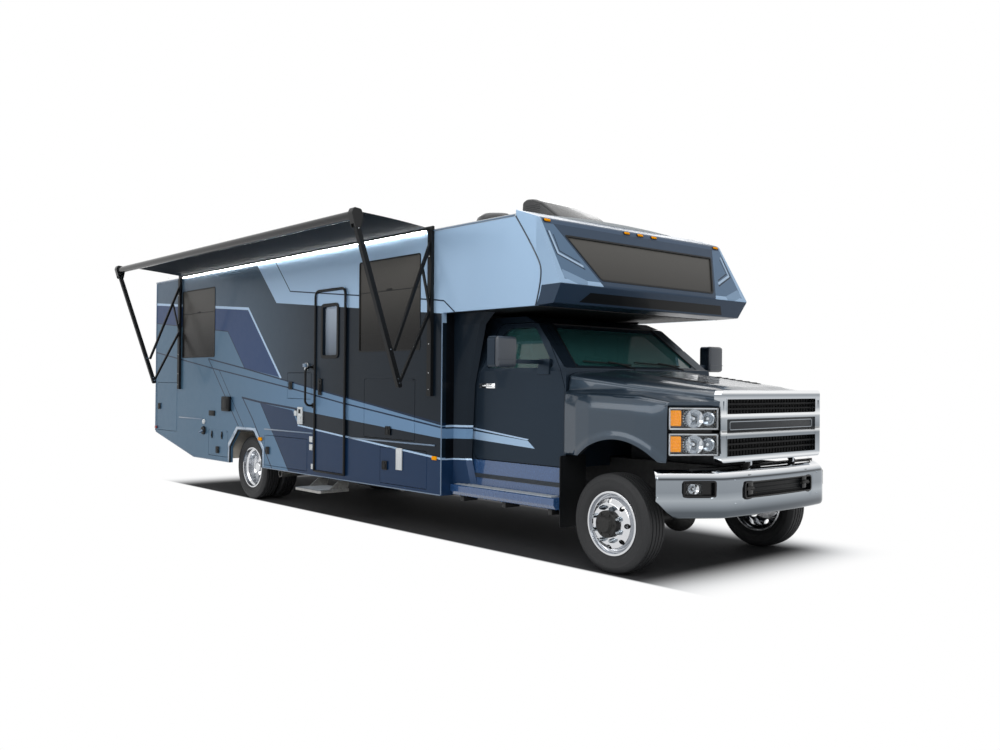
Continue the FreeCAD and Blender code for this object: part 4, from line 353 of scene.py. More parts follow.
wallPattern = [
    ("dusk", [[(9.3, 3.2), (9.3, 2.69), (6.08, 2.45), (6.08, 3.2)], [(6.08, 3.2), (6.08, 2.45), (5.22, 1.56), (5.22, 3.2)],
              [(5.22, 3.2), (5.22, 1.555), (1.9, 1.10), (1.9, 3.2)]]),
    ("light", [[(5.96, 3.1), (5.33, 2.48), (5.33, 3.1)], [(5.33, 3.2), (5.33, 2.48), (2.03, 2.19), (2.03, 3.2)],
               [(2.03, 3.2), (2.03, 2.1), (0.2, 2.1), (0.2, 3.2)]]),
    ("navy", [[(9.3, 2.68), (9.3, 2.40), (6.67, 2.18), (6.08, 2.45)],
              [(6.67, 2.18), (6.17, 1.69), (5.22, 1.575), (6.08, 2.45)]]),
    ("lightLine", ribbon(0.034, (9.3, 2.69), (6.08, 2.45), (5.2, 1.56))),
    ("line", ribbon(0.012, (9.3, 2.40), (6.67, 2.18), (6.17, 1.69))),
    ("navyLow", [[(5.72, 1.25), (4.95, 0.40), (4.91, 0.40), (4.91, 1.18)],
                 [(4.91, 1.18), (4.91, 0.40), (4.76, 0.40), (4.76, 1.0)],
                 [(4.76, 1.0), (4.76, 0.40), (1.9, 0.40), (1.9, 0.79)]]),
    ("night", [[(4.86, 1.195), (4.76, 1.015), (1.9, 0.80), (1.9, 0.985)]]),
    ("lightLine", ribbon(0.017, (4.78, 1.01), (3.7, 0.925), (1.9, 0.787))),
    ("line", [
        *ribbon(0.018, (7.27, 1.825), (6.17, 1.685), (5.05, 1.53), (3.7, 1.352), (1.9, 1.118)),
        *ribbon(0.016, (9.3, 1.965), (7.07, 1.685), (5.06, 1.455), (3.7, 1.282), (1.9, 1.083)),
        *ribbon(0.016, (7.27, 1.825), (7.10, 1.67), (6.43, 1.03), (6.20, 0.81)),
        *ribbon(0.012, (6.92, 1.665), (6.27, 1.02), (6.05, 0.80)),
        *ribbon(0.024, (6.24, 1.31), (5.75, 1.262), (4.8, 1.20)),
        *ribbon(0.018, (6.22, 1.31), (5.92, 1.03), (5.36, 0.40)),
        *ribbon(0.014, (5.73, 1.255), (4.93, 0.40)),
        *ribbon(0.014, (5.36, 2.98), (4.99, 2.60), (3.7, 2.475), (2.17, 2.33), (2.0, 2.31), (1.80, 2.17))]),
]
# light cheeks, a slate face round the window and a dark facet under the nose; across from the middle, and up
capPattern = [
    ("566f88", [[(0.0, 2.40), (0.0, 2.99), (1.20, 2.99), (0.92, 2.40)],
                [(0.92, 2.40), (1.20, 2.99), (1.262, 2.99), (1.262, 2.40)]]),
    # the cap's top above the header, darker: a painted dark reflection
    ("3d5066", [[(0.0, 2.90), (0.0, 3.30), (1.245, 3.30), (1.245, 2.90)]]),
    ("2e4054", [[(0.0, 2.36), (0.0, 2.905), (1.135, 2.905), (0.80, 2.36)]]),
    ("7d97b1", ribbon(0.075, (1.262, 2.45), (1.00, 2.365))),
    ("1f2f40", [*ribbon(0.012, (1.245, 2.83), (1.235, 2.62), (0.955, 2.505)),
                *ribbon(0.010, (1.185, 2.80), (1.190, 2.65), (0.985, 2.565))]),
    ("a9bed3", ribbon(0.020, (1.222, 2.83), (1.215, 2.63), (0.965, 2.530))),
    ("2c3d50", [[(0.0, 2.10), (0.0, 2.362), (1.34, 2.362), (1.34, 2.10)]]),
    ("05080c", [[(0.0, 2.222), (0.0, 2.305), (0.93, 2.305), (1.02, 2.222)]]),
    ("9bb6d0", [[(1.262, 2.368), (1.262, 3.1), (1.45, 3.1), (1.45, 2.368)]]),
]
# the coach's stripes carried round its front corner
frontBands = [("navyLow", band(0.3, 0.79)), ("lightLine", band(0.785, 0.80))]
cabPattern = [("light", [[(2.1, 1.085), (2.1, 1.0), (1.0, 0.945), (1.09, 1.01)]]),
              ("lightLine", [[(2.1, 1.123), (1.08, 1.025), (1.10, 1.014), (2.1, 1.107)]])]


def makePaint(name, base, axes, layers, metallic=0.25, coat=0.10):
    # clear coat over mottled metallic paint: patches over a base colour, later ones on top
    material, tree = newMaterial(name)
    shift = {"X": -middleX, "Y": -axleY, "Z": 0.0}
    split = objectAxes(tree)
    across, up = (mathNode(tree, "ADD", split[axis], shift[axis]) for axis in axes)
    if axes[0] == "X":
        across = mathNode(tree, "ABSOLUTE", across)
    place = addNode(tree, "CombineXYZ", {0: across, 1: up, 2: 1}).outputs[0]

    def tone(hue):
        # a paint by its name, hex digits, or two paints fading along the wall
        hue = paint.get(hue, hue)
        if isinstance(hue, str):
            return linear(hue)
        first, second, start, end = hue
        return mixColour(tree, tone(first), tone(second), softStep(tree, across, start, end))
    colour = tone(base)
    for hue, patches in layers:
        over = tone(hue)
        for corners in patches:
            sides = {f"Side {number}": side for number, side in enumerate(sidesOf(corners), 1)}
            mask = addNode(tree, "Group", {"Place": place, **sides}, node_tree=patchGroup).outputs["Mask"]
            colour = mixColour(tree, colour, over, mask)
    dress(tree, {"Base Color": colour, "Roughness": grainOf(tree, 12.0, 0.30, 0.36, 1.0)["Roughness"], "Metallic": metallic,
                 "Specular IOR Level": 0.12, "Coat Weight": coat, "Coat Roughness": 0.06})
    return material


# painted reflections: grey of the plated parts at each height, dark and light bands standing in for sky, horizon and
# ground mirrored in polished plate out of doors
chromeReflectionBands = [
    (0.50, "9aa1a7"), (0.514, "545a60"), (0.55, "565c62"), (0.60, "8a9198"), (0.64, "a3aab0"), (0.70, "858c93"),
    (0.79, "8b9299"), (0.806, "262b30"), (0.820, "b4bac0"), (0.846, "f6f7f8"), (0.872, "c3c8cd"), (0.925, "9aa1a8"),
    (0.943, "f0f2f4"), (0.968, "a4abb1"), (1.13, "7c838a"), (1.158, "f2f4f5"), (1.18, "868d94"), (1.27, "a2a8ae"),
    (1.288, "f2f4f5"), (1.34, "aab0b6"), (1.425, "bcc1c6"), (1.452, "878e95"), (1.470, "f6f7f8"), (1.488, "eceef0")]


def makeChromeWithPaintedReflections():
    material = makeSurface("Chrome", "d9dce0", 0.03, 0.08, scale=6.0, metallic=1.0)
    tree = material.node_tree
    low, high = chromeReflectionBands[0][0], chromeReflectionBands[-1][0]
    share = addNode(tree, "MapRange", {"Value": objectAxes(tree)["Z"], "From Min": low, "From Max": high}).outputs["Result"]
    ramp = addNode(tree, "ValToRGB", {"Fac": share})
    stops = ramp.color_ramp.elements
    while len(stops) < len(chromeReflectionBands):
        stops.new(0.5)
    for stop, (height, _) in zip(stops, chromeReflectionBands):
        stop.position = (height - low) / (high - low)
    for stop, (_, tone) in zip(stops, chromeReflectionBands):
        stop.color = linear(tone)
    # the plated parts' base colour carries the painted reflection bands
    dress(tree, {"Base Color": ramp.outputs["Color"]})
    return material


def makeGlass(name, colour, alpha, roughness=0.03):
    return makeSurface(name, colour, roughness, roughness + 0.03, scale=4.0, coat=0.5, Alpha=alpha)


def makeGlassWithPaintedSky(name, low, high, bottom, top):
    # a dark pane with a painted reflection of a brighter sky towards its head
    material = makeSurface(name, low, 0.22, 0.27, scale=4.0, Specular_IOR_Level=0.12)
    tree = material.node_tree
    share = softStep(tree, objectAxes(tree)["Z"], bottom, top)
    dress(tree, {"Base Color": mixColour(tree, linear(low), linear(high), share)})
    return material


tread = {"crossCuts": 110.0, "cutSlant": 3.0, "cutFrom": 0.378, "ribsTo": 0.36, "ribCount": 900.0, "depth": 0.003}


def makeTyreTread(name, hub):
    # rubber whose tread is cut across by fine sipes, spaced by the angle round the axle
    material = makeSurface(name, "17181a", 0.55, 0.75, scale=160.0, shade=0.15)
    tree = material.node_tree

    def calc(operation, first, second=None):
        return mathNode(tree, operation, first, second)
    axes = objectAxes(tree)
    alongY, alongZ = calc("SUBTRACT", axes["Y"], hub.y), calc("SUBTRACT", axes["Z"], hub.z)
    turn = calc("ADD", calc("ARCTAN2", alongZ, alongY), calc("MULTIPLY", axes["X"], tread["cutSlant"]))
    cut = calc("GREATER_THAN", calc("SINE", calc("MULTIPLY", turn, tread["crossCuts"])), 0.75)
    far = calc("SQRT", calc("ADD", calc("POWER", alongY, 2.0), calc("POWER", alongZ, 2.0)))
    sipe = calc("MULTIPLY", cut, calc("GREATER_THAN", far, tread["cutFrom"]))
    ribs = calc("MULTIPLY", calc("SINE", calc("MULTIPLY", far, tread["ribCount"])), 0.12)
    side = calc("MULTIPLY", calc("LESS_THAN", far, tread["ribsTo"]), ribs)
    relief = addNode(tree, "Bump", {"Strength": 1, "Distance": tread["depth"], "Height": calc("SUBTRACT", side, sipe)})
    dress(tree, {"Normal": relief.outputs["Normal"]})
    return material


def makePunched(name, colour, pitch):
    # a dark strip with rows of round holes, drawn as black dots of painted shade
    material = makeSurface(name, colour, 0.4, 0.6, metallic=0.3)
    tree = material.node_tree
    place = addNode(tree, "TexCoord").outputs["Object"]
    cells = addNode(tree, "TexVoronoi", {"Vector": place, "Scale": 1 / pitch, "Randomness": 0.0})
    share = softStep(tree, cells.outputs["Distance"], 0.28, 0.36)
    dress(tree, {"Base Color": mixColour(tree, (0, 0, 0, 1), linear(colour), share)})
    return material


materials = {
    "coachPaint": makePaint("CoachPaint", "wallBase", "YZ", wallPattern, 0.3),
    "capPaint": makePaint("CapPaint", "9bb6d0", "XZ", capPattern, 0.3),
    # the bulkhead under the cap: its near-black base is painted shade, darker than the fairings' charcoal and night;
    # its stripes are the livery
    "bulkheadPaintShaded": makePaint("BulkheadPaint", "080b10", "XZ", [
        *frontBands, ("steel", band(0.99, 1.085)), ("lightLine", band(1.10, 1.12))]),
    "fairingPaint": makePaint("FairingPaint", "steel", "YZ", [
        ("charcoal", band(1.12, 2.3)), *frontBands, ("night", band(0.80, 0.99)), ("line", band(1.085, 1.10)),
        ("lightLine", band(1.10, 1.12))]),
    # the cab and its doors: a darker copy of the hood's paint, as painted reflection of dark ground
    "cabPaintDarkReflection": makePaint("CabPaint", "cab", "YZ", cabPattern, 0.55),
    "hoodPaint": makePaint("HoodPaint", "33414e", "YZ", (), 0.55, 0.8),
    "boardPaint": makeSurface("BoardPaint", "2c4f7c", 0.24, 0.30, scale=20.0, coat=1.0, metallic=0.2),
    "mouldingBlue": makeSurface("MouldingBlue", "5c738b", 0.3, 0.4, coat=0.6),
    "archTrim": makeSurface("ArchTrim", "a9bccf", 0.25, 0.35, coat=0.6),
    "capSeam": makeSurface("CapSeam", "22303f", 0.3, 0.4, coat=0.5),
    "chrome": makeChromeWithPaintedReflections(),
    "lampChrome": makeSurface("LampChrome", "c4c9ce", 0.04, 0.10, scale=8.0, metallic=1.0),
    "mirrorGlass": makeSurface("MirrorGlass", "c8ccd0", 0.02, 0.03, metallic=1.0),
    "polishedAlloy": makeSurface("PolishedAlloy", "d4d6d9", 0.10, 0.20, scale=25.0, metallic=1.0),
    "brushedSteel": makeSurface("BrushedSteel", "9a9a98", 0.3, 0.5, metallic=1.0, shade=0.15),
    "treadGrey": makeSurface("TreadGrey", "a7adb3", 0.35, 0.55, scale=400.0, bump=0.0006, metallic=0.5, shade=0.1),
    "engineGrey": makeSurface("EngineGrey", "3a3c3e", 0.45, 0.7, scale=30.0, metallic=0.6, bump=0.001),
    "trimBlack": makeSurface("TrimBlack", "0d0f11", 0.4, 0.55, scale=300.0, bump=0.0003, Specular_IOR_Level=0.2),
    "glossBlack": makeSurface("GlossBlack", "07090c", 0.12, 0.2, coat=0.1, Specular_IOR_Level=0.3),
    "grilleBlack": makeSurface("GrilleBlack", "08090b", 0.4, 0.55, Specular_IOR_Level=0.12),
    "bandGrey": makeSurface("BandGrey", "171c21", 0.42, 0.5, Specular_IOR_Level=0.35),
    "frameBlack": makeSurface("FrameBlack", "0d0e0f", 0.45, 0.7, scale=30.0, shade=0.3, bump=0.0006),
    "castBlack": makeSurface("CastBlack", "131312", 0.5, 0.8, scale=60.0, shade=0.35, bump=0.001),
    "mirrorShell": makeSurface("MirrorShell", "3a4048", 0.3, 0.42, scale=200.0, bump=0.0002, coat=0.2),
    "unitShroud": makeSurface("UnitShroud", "0d1013", 0.16, 0.28, scale=60.0, coat=0.25),
    "dashGrain": makeSurface("DashGrain", "1a1b1d", 0.5, 0.65, scale=400.0, bump=0.0005),
    "punchedStrip": makePunched("PunchedStrip", "2a333c", 0.012),
    "tyreRubber": makeSurface("TyreRubber", "181919", 0.6, 0.8, scale=180.0, bump=0.0004, shade=0.2),
    "frontTread": makeTyreTread("FrontTread", leftHub),
    "rearTread": makeTyreTread("RearTread", rearHub),
    "roofMembrane": makeSurface("RoofMembrane", "c8cac8", 0.55, 0.75, scale=80.0, bump=0.0006, shade=0.06),
    "liningBoard": makeSurface("LiningBoard", "b9b2a6", 0.5, 0.65, scale=15.0, shade=0.08),
    "shellWhite": makeSurface("ShellWhite", "d2d4d3", 0.3, 0.42, scale=120.0, bump=0.0003, shade=0.04),
    "seatCloth": makeSurface("SeatCloth", "2a2b2d", 0.75, 0.9, scale=700.0, bump=0.001, shade=0.25, Sheen_Weight=0.4),
    "awningCloth": makeSurface("AwningCloth", "141c24", 0.65, 0.8, scale=500.0, bump=0.0005, shade=0.12,
                               Specular_IOR_Level=0.05),
    "redLens": makeSurface("RedLens", "8e0d10", 0.12, 0.2, coat=0.3),
    "amberLens": makeSurface("AmberLens", "ffa200", 0.3, 0.4, Specular_IOR_Level=0.05),
    "lampWhite": makeSurface("LampWhite", "e6ebee", 0.1, 0.16, coat=0.8),
    "lampGlow": makeSurface("LampGlow", "ffffff", 0.4, 0.5, Emission_Color=(1.0, 0.98, 0.94, 1), Emission_Strength=30.0),
    "clearLens": makeGlass("ClearLens", "f4f8fa", 0.03, 0.01),
    "cabGlass": makeGlass("CabGlass", "2c5654", 0.66),
    "coachGlass": makeGlassWithPaintedSky("CoachGlass", "151413", "585550", 1.9, 2.95),
    "entryPane": makeGlassWithPaintedSky("EntryPane", "6d7580", "a9b3bf", 1.8, 2.4),
}

nodeMaterials = {
    "coachPaint": ["side_wall_left", "side_wall_right", "rear_wall", "entry_door",
                   *[name for name in nodes if "_lid_" in name]],
    "bulkheadPaintShaded": ["front_wall"], "fairingPaint": ["cab_fairings"],
    "cabPaintDarkReflection": ["cab_shell", "hood", "cab_door_left", "cab_door_right"], "boardPaint": ["running_boards"],
    "capPaint": ["overcab_cap"], "chrome": ["grille", "front_bumper"],
    "polishedAlloy": ["front_wheel_left", "front_wheel_right", "rear_wheels_left", "rear_wheels_right"],
    "brushedSteel": ["exhaust_pipe", "entry_step"],
    "trimBlack": ["mud_flaps", "grab_handle", "awning_arms"], "dashGrain": ["dashboard"],
    "glossBlack": ["awning_roller"], "frameBlack": ["frame_rails", "hitch_receiver", "fuel_tank", "bunk_floor"],
    "castBlack": ["front_axle", "rear_axle", "drive_shaft", "knuckle_left", "knuckle_right"], "engineGrey": ["engine_block"],
    "tyreRubber": ["front_tyre_left", "front_tyre_right", "rear_tyres_left", "rear_tyres_right"],
    "roofMembrane": ["roof_panel"], "liningBoard": ["coach_floor", "storage_bins"], "shellWhite": ["roof_units"],
    "seatCloth": ["cab_seats"], "awningCloth": ["awning_fabric"], "redLens": ["tail_lamps"],
    "cabGlass": ["windshield", "cab_door_window_left", "cab_door_window_right"],
    "coachGlass": ["coach_windows"], "entryPane": ["entry_door_window"], "clearLens": ["headlamps"],
}
for key, names in nodeMaterials.items():
    for name in names:
        nodes[name].data.materials.clear()
        nodes[name].data.materials.append(materials[key])
print("scene: materials of the CAD nodes")


# Modelling helpers

sides = (("left", 1), ("right", -1))


def roundEdges(bm, verts, offset, segments):
    edges = list(dict.fromkeys(edge for vert in verts for edge in vert.link_edges))
    return bmesh.ops.bevel(bm, geom=edges, offset=offset, segments=segments, profile=0.5,
                           affect="EDGES", material=-1)["verts"]


def block(bm, low, high, bevel=0.0, segments=2):
    # a box between two corners given from under the front axle, its edges rounded
    first, second = at(*low), at(*high)
    made = bmesh.ops.create_cube(bm, size=1)["verts"]
    bmesh.ops.scale(bm, vec=[abs(b - a) for a, b in zip(first, second)], verts=made)
    bmesh.ops.translate(bm, vec=(first + second) / 2, verts=made)
    return roundEdges(bm, made, bevel, segments) if bevel else made


def rod(bm, start, end, radius, tip, steps=20, caps=True):
    first, second = at(*start), at(*end)
    along = second - first
    place = Matrix.Translation((first + second) / 2) @ along.to_track_quat("Z", "Y").to_matrix().to_4x4()
    bmesh.ops.create_cone(bm, cap_ends=caps, segments=steps, radius1=radius, radius2=tip, depth=along.length, matrix=place)


def rectangle(place, a0, a1, b0, b1):
    # four corners, each placed by a function of its two measures
    return [place(a0, b0), place(a1, b0), place(a1, b1), place(a0, b1)]


def facing(y, x0, x1, z0, z1):
    return rectangle(lambda x, z: (x, y, z), x0, x1, z0, z1)


def onWall(side, y0, y1, z0, z1, out):
    return rectangle(lambda y, z: (side * (coachHalf + out), y, z), y0, y1, z0, z1)


def wallBlock(bm, side, out, along, up, bevel, segments=2):
    # a box on a coach side; its reach out of the wall, along it and up each run from one value to the other
    ends = [(side * (coachHalf + out[end]), along[end], up[end]) for end in (0, 1)]
    block(bm, *ends, bevel, segments)


def wallRod(bm, side, out, y, z, radius, tip, steps=20):
    ends = [(side * (coachHalf + reach), y, z) for reach in out]
    rod(bm, *ends, radius, tip, steps)


def span(middle, half):
    return (middle - half, middle + half)


def flatFace(bm, corners, rounding):
    # one face through the corners, each corner rounded
    verts = [bm.verts.new(at(*corner)) for corner in corners]
    face = bm.faces.new(verts)
    if rounding:
        made = bmesh.ops.bevel(bm, geom=verts, offset=rounding, segments=4, profile=0.5, affect="VERTICES", material=-1)
        face = made["verts"][0].link_faces[0]
    return face


def pushOut(bm, faces, depth):
    made = bmesh.ops.extrude_face_region(bm, geom=faces)["geom"]
    verts = [item for item in made if isinstance(item, bmesh.types.BMVert)]
    bmesh.ops.translate(bm, vec=depth, verts=verts)
    return verts


def plate(bm, corners, depth, rounding=0.0):
    # a flat outline pushed out by a depth
    return pushOut(bm, [flatFace(bm, corners, rounding)], depth)


def hoop(bm, corners, width, depth, rounding):
    # a flat frame: the outline, less what lies more than width inside it, pushed out by a depth
    face = flatFace(bm, corners, rounding)
    made = bmesh.ops.inset_region(bm, faces=[face], thickness=width, use_even_offset=True, use_boundary=True)["faces"]
    bmesh.ops.delete(bm, geom=[face], context="FACES_ONLY")
    pushOut(bm, made, depth)


def lathe(bm, profile, centre, steps, axis=(1, 0, 0)):
    # a profile of (x, z) pairs from a centre, turned about an axis through it
    place = at(*centre)
    verts = [bm.verts.new(place + Vector((x, 0, z))) for x, z in profile]
    edges = [bm.edges.new(pair) for pair in zip(verts, verts[1:])]
    bmesh.ops.spin(bm, geom=verts + edges, cent=place, axis=axis, angle=2 * math.pi, steps=steps, use_merge=True)


def tube(bm, points, radius, order=2, cyclic=False, sides=8):
    # a round tube along a line of points, bent sharply in order 2 and smoothly in order 3
    data = bpy.data.curves.new("Line", "CURVE")
    data.dimensions = "3D"
    data.bevel_depth = radius
    data.bevel_resolution = max(1, sides // 4)
    data.use_fill_caps = not cyclic
    line = data.splines.new("POLY" if order == 2 else "NURBS")
    line.points.add(len(points) - 1)
    for point, place in zip(line.points, points):
        point.co = (*at(*place), 1)
    line.use_cyclic_u = cyclic
    if order > 2:
        line.order_u = order
        line.use_endpoint_u = not cyclic
        line.resolution_u = 6
    carrier = bpy.data.objects.new("Line", data)
    mesh = bpy.data.meshes.new_from_object(carrier)
    bm.from_mesh(mesh)
    bpy.data.objects.remove(carrier)
    bpy.data.curves.remove(data)
    bpy.data.meshes.remove(mesh)


def drape(verts, surface, lift):
    # lays the points on the surface straight below, each lifted by lift(point)
    down = Vector((0, 0, -1))
    for vert in verts:
        hit = surface.ray_cast(vert.co - down * 1.5, down)[0]
        vert.co = hit - down * lift(vert.co)


def finishPiece(name, bm, finishes, body, instead=(), angle=32, levels=0, solid=0.0):
    # the mesh becomes a piece that rides on its body
    bmesh.ops.remove_doubles(bm, verts=bm.verts, dist=0.00001)
    bmesh.ops.recalc_face_normals(bm, faces=bm.faces)
    mesh = bpy.data.meshes.new(name)
    bm.to_mesh(mesh)
    bm.free()
    piece = bpy.data.objects.new(name, mesh)
    bpy.context.scene.collection.objects.link(piece)
    for finish in [finishes] if isinstance(finishes, str) else finishes:
        mesh.materials.append(materials[finish])
    mesh.polygons.foreach_set("use_smooth", [True] * len(mesh.polygons))
    mesh.set_sharp_from_angle(angle=math.radians(angle))
    if solid:
        shell = piece.modifiers.new("Thickness", "SOLIDIFY")
        shell.thickness = solid
        shell.offset = -1
    if levels:
        smooth = piece.modifiers.new("Smooth", "SUBSURF")
        smooth.levels = levels
        smooth.render_levels = levels
    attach(piece, body)
    if instead:
        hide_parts(*instead)
    return piece


def soften(name, node, finishes, body, width, dark, corner, rounding):
    # a copy of a CAD node with its doubles merged, its edges rounded and its chosen corners rounded more
    bm = bmesh.new()
    bm.from_mesh(nodes[node].data)
    bmesh.ops.remove_doubles(bm, verts=bm.verts, dist=0.00002)
    bmesh.ops.dissolve_limit(bm, angle_limit=math.radians(1), verts=bm.verts, edges=bm.edges)
    edges = [edge for edge in bm.edges if all(corner(vert.co - at(0, 0, 0)) for vert in edge.verts)
             and abs((edge.verts[0].co - edge.verts[1].co).normalized().y) > 0.99]
    bmesh.ops.bevel(bm, geom=edges, offset=rounding, segments=6, profile=0.5, affect="EDGES", material=-1)
    for face in bm.faces:
        face.material_index = 1 if dark(face.calc_center_median() - at(0, 0, 0)) else 0
    piece = finishPiece(name, bm, finishes, body, (node,), 50)
    edge = piece.modifiers.new("Rounding", "BEVEL")
    edge.width = width
    edge.segments = 3
    edge.limit_method = "ANGLE"
    edge.angle_limit = math.radians(35)
    edge.harden_normals = True


def slanted(near, far, side):
    # on a slanted face: a point along it, out of it and up; a rectangle on it; and a push out of it
    start = Vector(near)
    along = (Vector(far) - start).normalized()
    out = Vector((along.y, -along.x))

    def place(a, o, z):
        flat = start + along * a + out * o
        return (side * flat.x, flat.y, z)

    def panel(a0, a1, o, z0, z1):
        return rectangle(lambda a, z: place(a, o, z), a0, a1, z0, z1)

    def push(depth):
        return at(*place(0, depth, 0)) - at(*place(0, 0, 0))
    return place, panel, push


# Front end: grille and headlamps

frontEnd = {"grilleHalf": 0.645, "meshPitch": 0.043, "meshFace": -0.722, "openings": ((0.965, 1.145), (1.295, 1.435)),
            "band": (1.153, 1.260), "bandFace": -0.7645, "trimFace": -0.7765, "frameRounding": 0.009, "frameCorner": 0.038,
            "lampNear": (0.725, -0.761), "lampFar": (1.059, -0.523), "lampLevels": ((0.978, 1.156), (1.178, 1.356)),
            "reflectors": ((0.195, 0.072), (0.085, 0.052)), "amber": (0.300, 0.385)}


def buildGrille():
    half, face = frontEnd["grilleHalf"], frontEnd["meshFace"]
    mesh, groove, trim, middleBand = (bmesh.new() for _ in range(4))
    count = int(2 * half / frontEnd["meshPitch"])
    for low, high in frontEnd["openings"]:
        block(mesh, (-half, face + 0.010, low), (half, face + 0.014, high))
        for number in range(count + 1):
            x = -half + 0.006 + number * (2 * half - 0.012) / count
            block(mesh, (x - 0.0025, face + 0.004, low), (x + 0.0025, face + 0.010, high), 0.001, 1)
        middle = (low + high) / 2
        block(mesh, (-half, face, middle - 0.003), (half, face + 0.010, middle + 0.003), 0.0012, 1)
        corners = facing(frontEnd["trimFace"], -half - 0.010, half + 0.010, low - 0.003, high + 0.003)
        hoop(trim, corners, 0.010, (0, 0.006, 0), 0.012)
    for z in (1.160, 1.168):
        block(groove, (-0.716, -0.7775, z), (0.716, -0.7735, z + 0.004), 0.001, 1)
    for side in (1, -1):
        hoop(groove, facing(-0.756, side * 0.60, side * 0.640, 1.190, 1.272), 0.004, (0, -0.004, 0), 0.004)
    hoop(trim, facing(frontEnd["bandFace"] + 0.001, -0.600, 0.600, 1.176, 1.244), 0.006, (0, -0.004, 0), 0.014)
    low, high = frontEnd["band"]
    block(middleBand, (-0.640, frontEnd["bandFace"], low), (0.640, -0.7532, high), 0.002)
    finishPiece("grilleMesh", mesh, "grilleBlack", "hood")
    finishPiece("grilleGroove", groove, "trimBlack", "hood")
    finishPiece("grilleTrim", trim, "chrome", "hood")
    finishPiece("grilleBand", middleBand, "bandGrey", "hood")
    soften("grilleFrame", "grille", ["chrome", "grilleBlack"], "hood", frontEnd["frameRounding"],
           lambda place: abs(place.x) < 0.643 and place.y > -0.7535 and (0.975 < place.z < 1.107 or 1.305 < place.z < 1.415),
           lambda place: abs(place.x) > 0.715 and (place.z > 1.48 or place.z < 0.93), frontEnd["frameCorner"])


def buildHeadlamps():
    near, far = frontEnd["lampNear"], frontEnd["lampFar"]
    length = (Vector(far) - Vector(near)).length
    amberIn, amberOut = frontEnd["amber"]
    housing, chrome, amber, lens = (bmesh.new() for _ in range(4))
    for side in (1, -1):
        place, panel, push = slanted(near, far, side)
        plate(housing, panel(0.006, length - 0.05, -0.075, 0.974, 1.360), push(-0.006))
        for low, high in frontEnd["lampLevels"]:
            middle = (low + high) / 2
            hoop(housing, panel(0.004, length - 0.004, 0, low, high), 0.006, push(-0.06), 0.008)
            hoop(chrome, panel(0.010, length - 0.010, 0, low + 0.004, high - 0.004), 0.012, push(-0.028), 0.01)
            for a, radius in frontEnd["reflectors"]:
                rod(chrome, place(a, -0.066, middle), place(a, -0.016, middle), radius * 0.35, radius, 32, False)
                rod(chrome, place(a, -0.064, middle), place(a, -0.03, middle), 0.017, 0.011)
            for number in range(9):
                lean = math.radians(-64 + number * 16)
                tip = place(0.205 + 0.082 * math.cos(lean), -0.024, middle + 0.075 * math.sin(lean))
                rod(chrome, place(0.205, -0.05, middle + 0.01 * math.sin(lean)), tip, 0.003, 0.007, 6)
            plate(amber, panel(amberIn, amberOut, -0.05, low + 0.032, high - 0.026), push(0.036), 0.01)
            for number in range(4):
                z = low + 0.045 + number * 0.028
                rod(amber, place(amberIn + 0.005, -0.012, z), place(amberOut - 0.005, -0.012, z), 0.004, 0.004, 8)
            plate(lens, panel(0.004, length - 0.004, -0.004, low, high), push(0.004), 0.008)
    finishPiece("lampHousings", housing, "glossBlack", "hood", ("headlamps",))
    finishPiece("lampReflectors", chrome, "lampChrome", "hood")
    finishPiece("turnSignals", amber, "amberLens", "hood")
    finishPiece("lampLenses", lens, "clearLens", "hood")


# Front end: the hood's skin, in sections across and fenders down its sides

hood = {
    "rear": 0.603, "front": -0.706, "half": [(-0.78, 0.665), (-0.70, 0.715), (-0.50, 0.800), (0.0, 0.925), (0.61, 0.972)],
    "height": [(-0.78, 1.478), (-0.706, 1.489), (-0.60, 1.505), (0.0, 1.580), (0.61, 1.652)],
    "creaseX": [(-0.80, 1.058), (-0.523, 1.060), (-0.35, 1.074), (0.30, 1.074), (0.61, 1.042)],
    "creaseZ": [(-0.80, 1.364), (-0.70, 1.366), (-0.523, 1.384), (-0.20, 1.428), (0.61, 1.452)],
    "sideX": [(-0.53, 1.068), (-0.40, 1.108), (-0.25, 1.1195), (0.25, 1.1195), (0.42, 1.100), (0.61, 1.052)],
    "low": 0.927, "archY": -0.040, "archZ": 0.440, "archRadius": 0.645, "archTurn": 0.040, "lip": 0.012, "lipWidth": 0.070,
    "bulge": 0.014, "valley": 0.005, "across": 72, "along": 84, "down": 22, "skin": 0.010,
}
# where the grid's rows lie, closer together at the lamps
hoodStations = [(0.0, hood["rear"]), (0.20, 0.383), (0.93, -0.463), (1.0, -0.523)]


def smoothShare(value, low, high):
    share = max(0.0, min(1.0, (value - low) / (high - low)))
    return share * share * (3 - 2 * share)


def readLine(pairs, value):
    # the height of a line of (place, height) pairs at a place
    for (a, first), (b, second) in zip(pairs, pairs[1:]):
        if value <= b or b == pairs[-1][0]:
            return first + (second - first) * max(0.0, min(1.0, (value - a) / (b - a)))


def curveThrough(points, share):
    # a smooth curve through flat points, read at a share of its steps
    step = min(int(share * (len(points) - 1)), len(points) - 2)
    t = share * (len(points) - 1) - step
    p1, p2 = Vector(points[step]), Vector(points[step + 1])
    p0 = Vector(points[step - 1]) if step else p1 * 2 - p2
    p3 = Vector(points[step + 2]) if step + 2 < len(points) else p2 * 2 - p1
    return 0.5 * (2 * p1 + (p2 - p0) * t + (2 * p0 - 5 * p1 + 4 * p2 - p3) * t * t + (3 * p1 - p0 - 3 * p2 + p3) * t ** 3)


def creaseAt(y):
    return Vector((readLine(hood["creaseX"], y), readLine(hood["creaseZ"], y)))


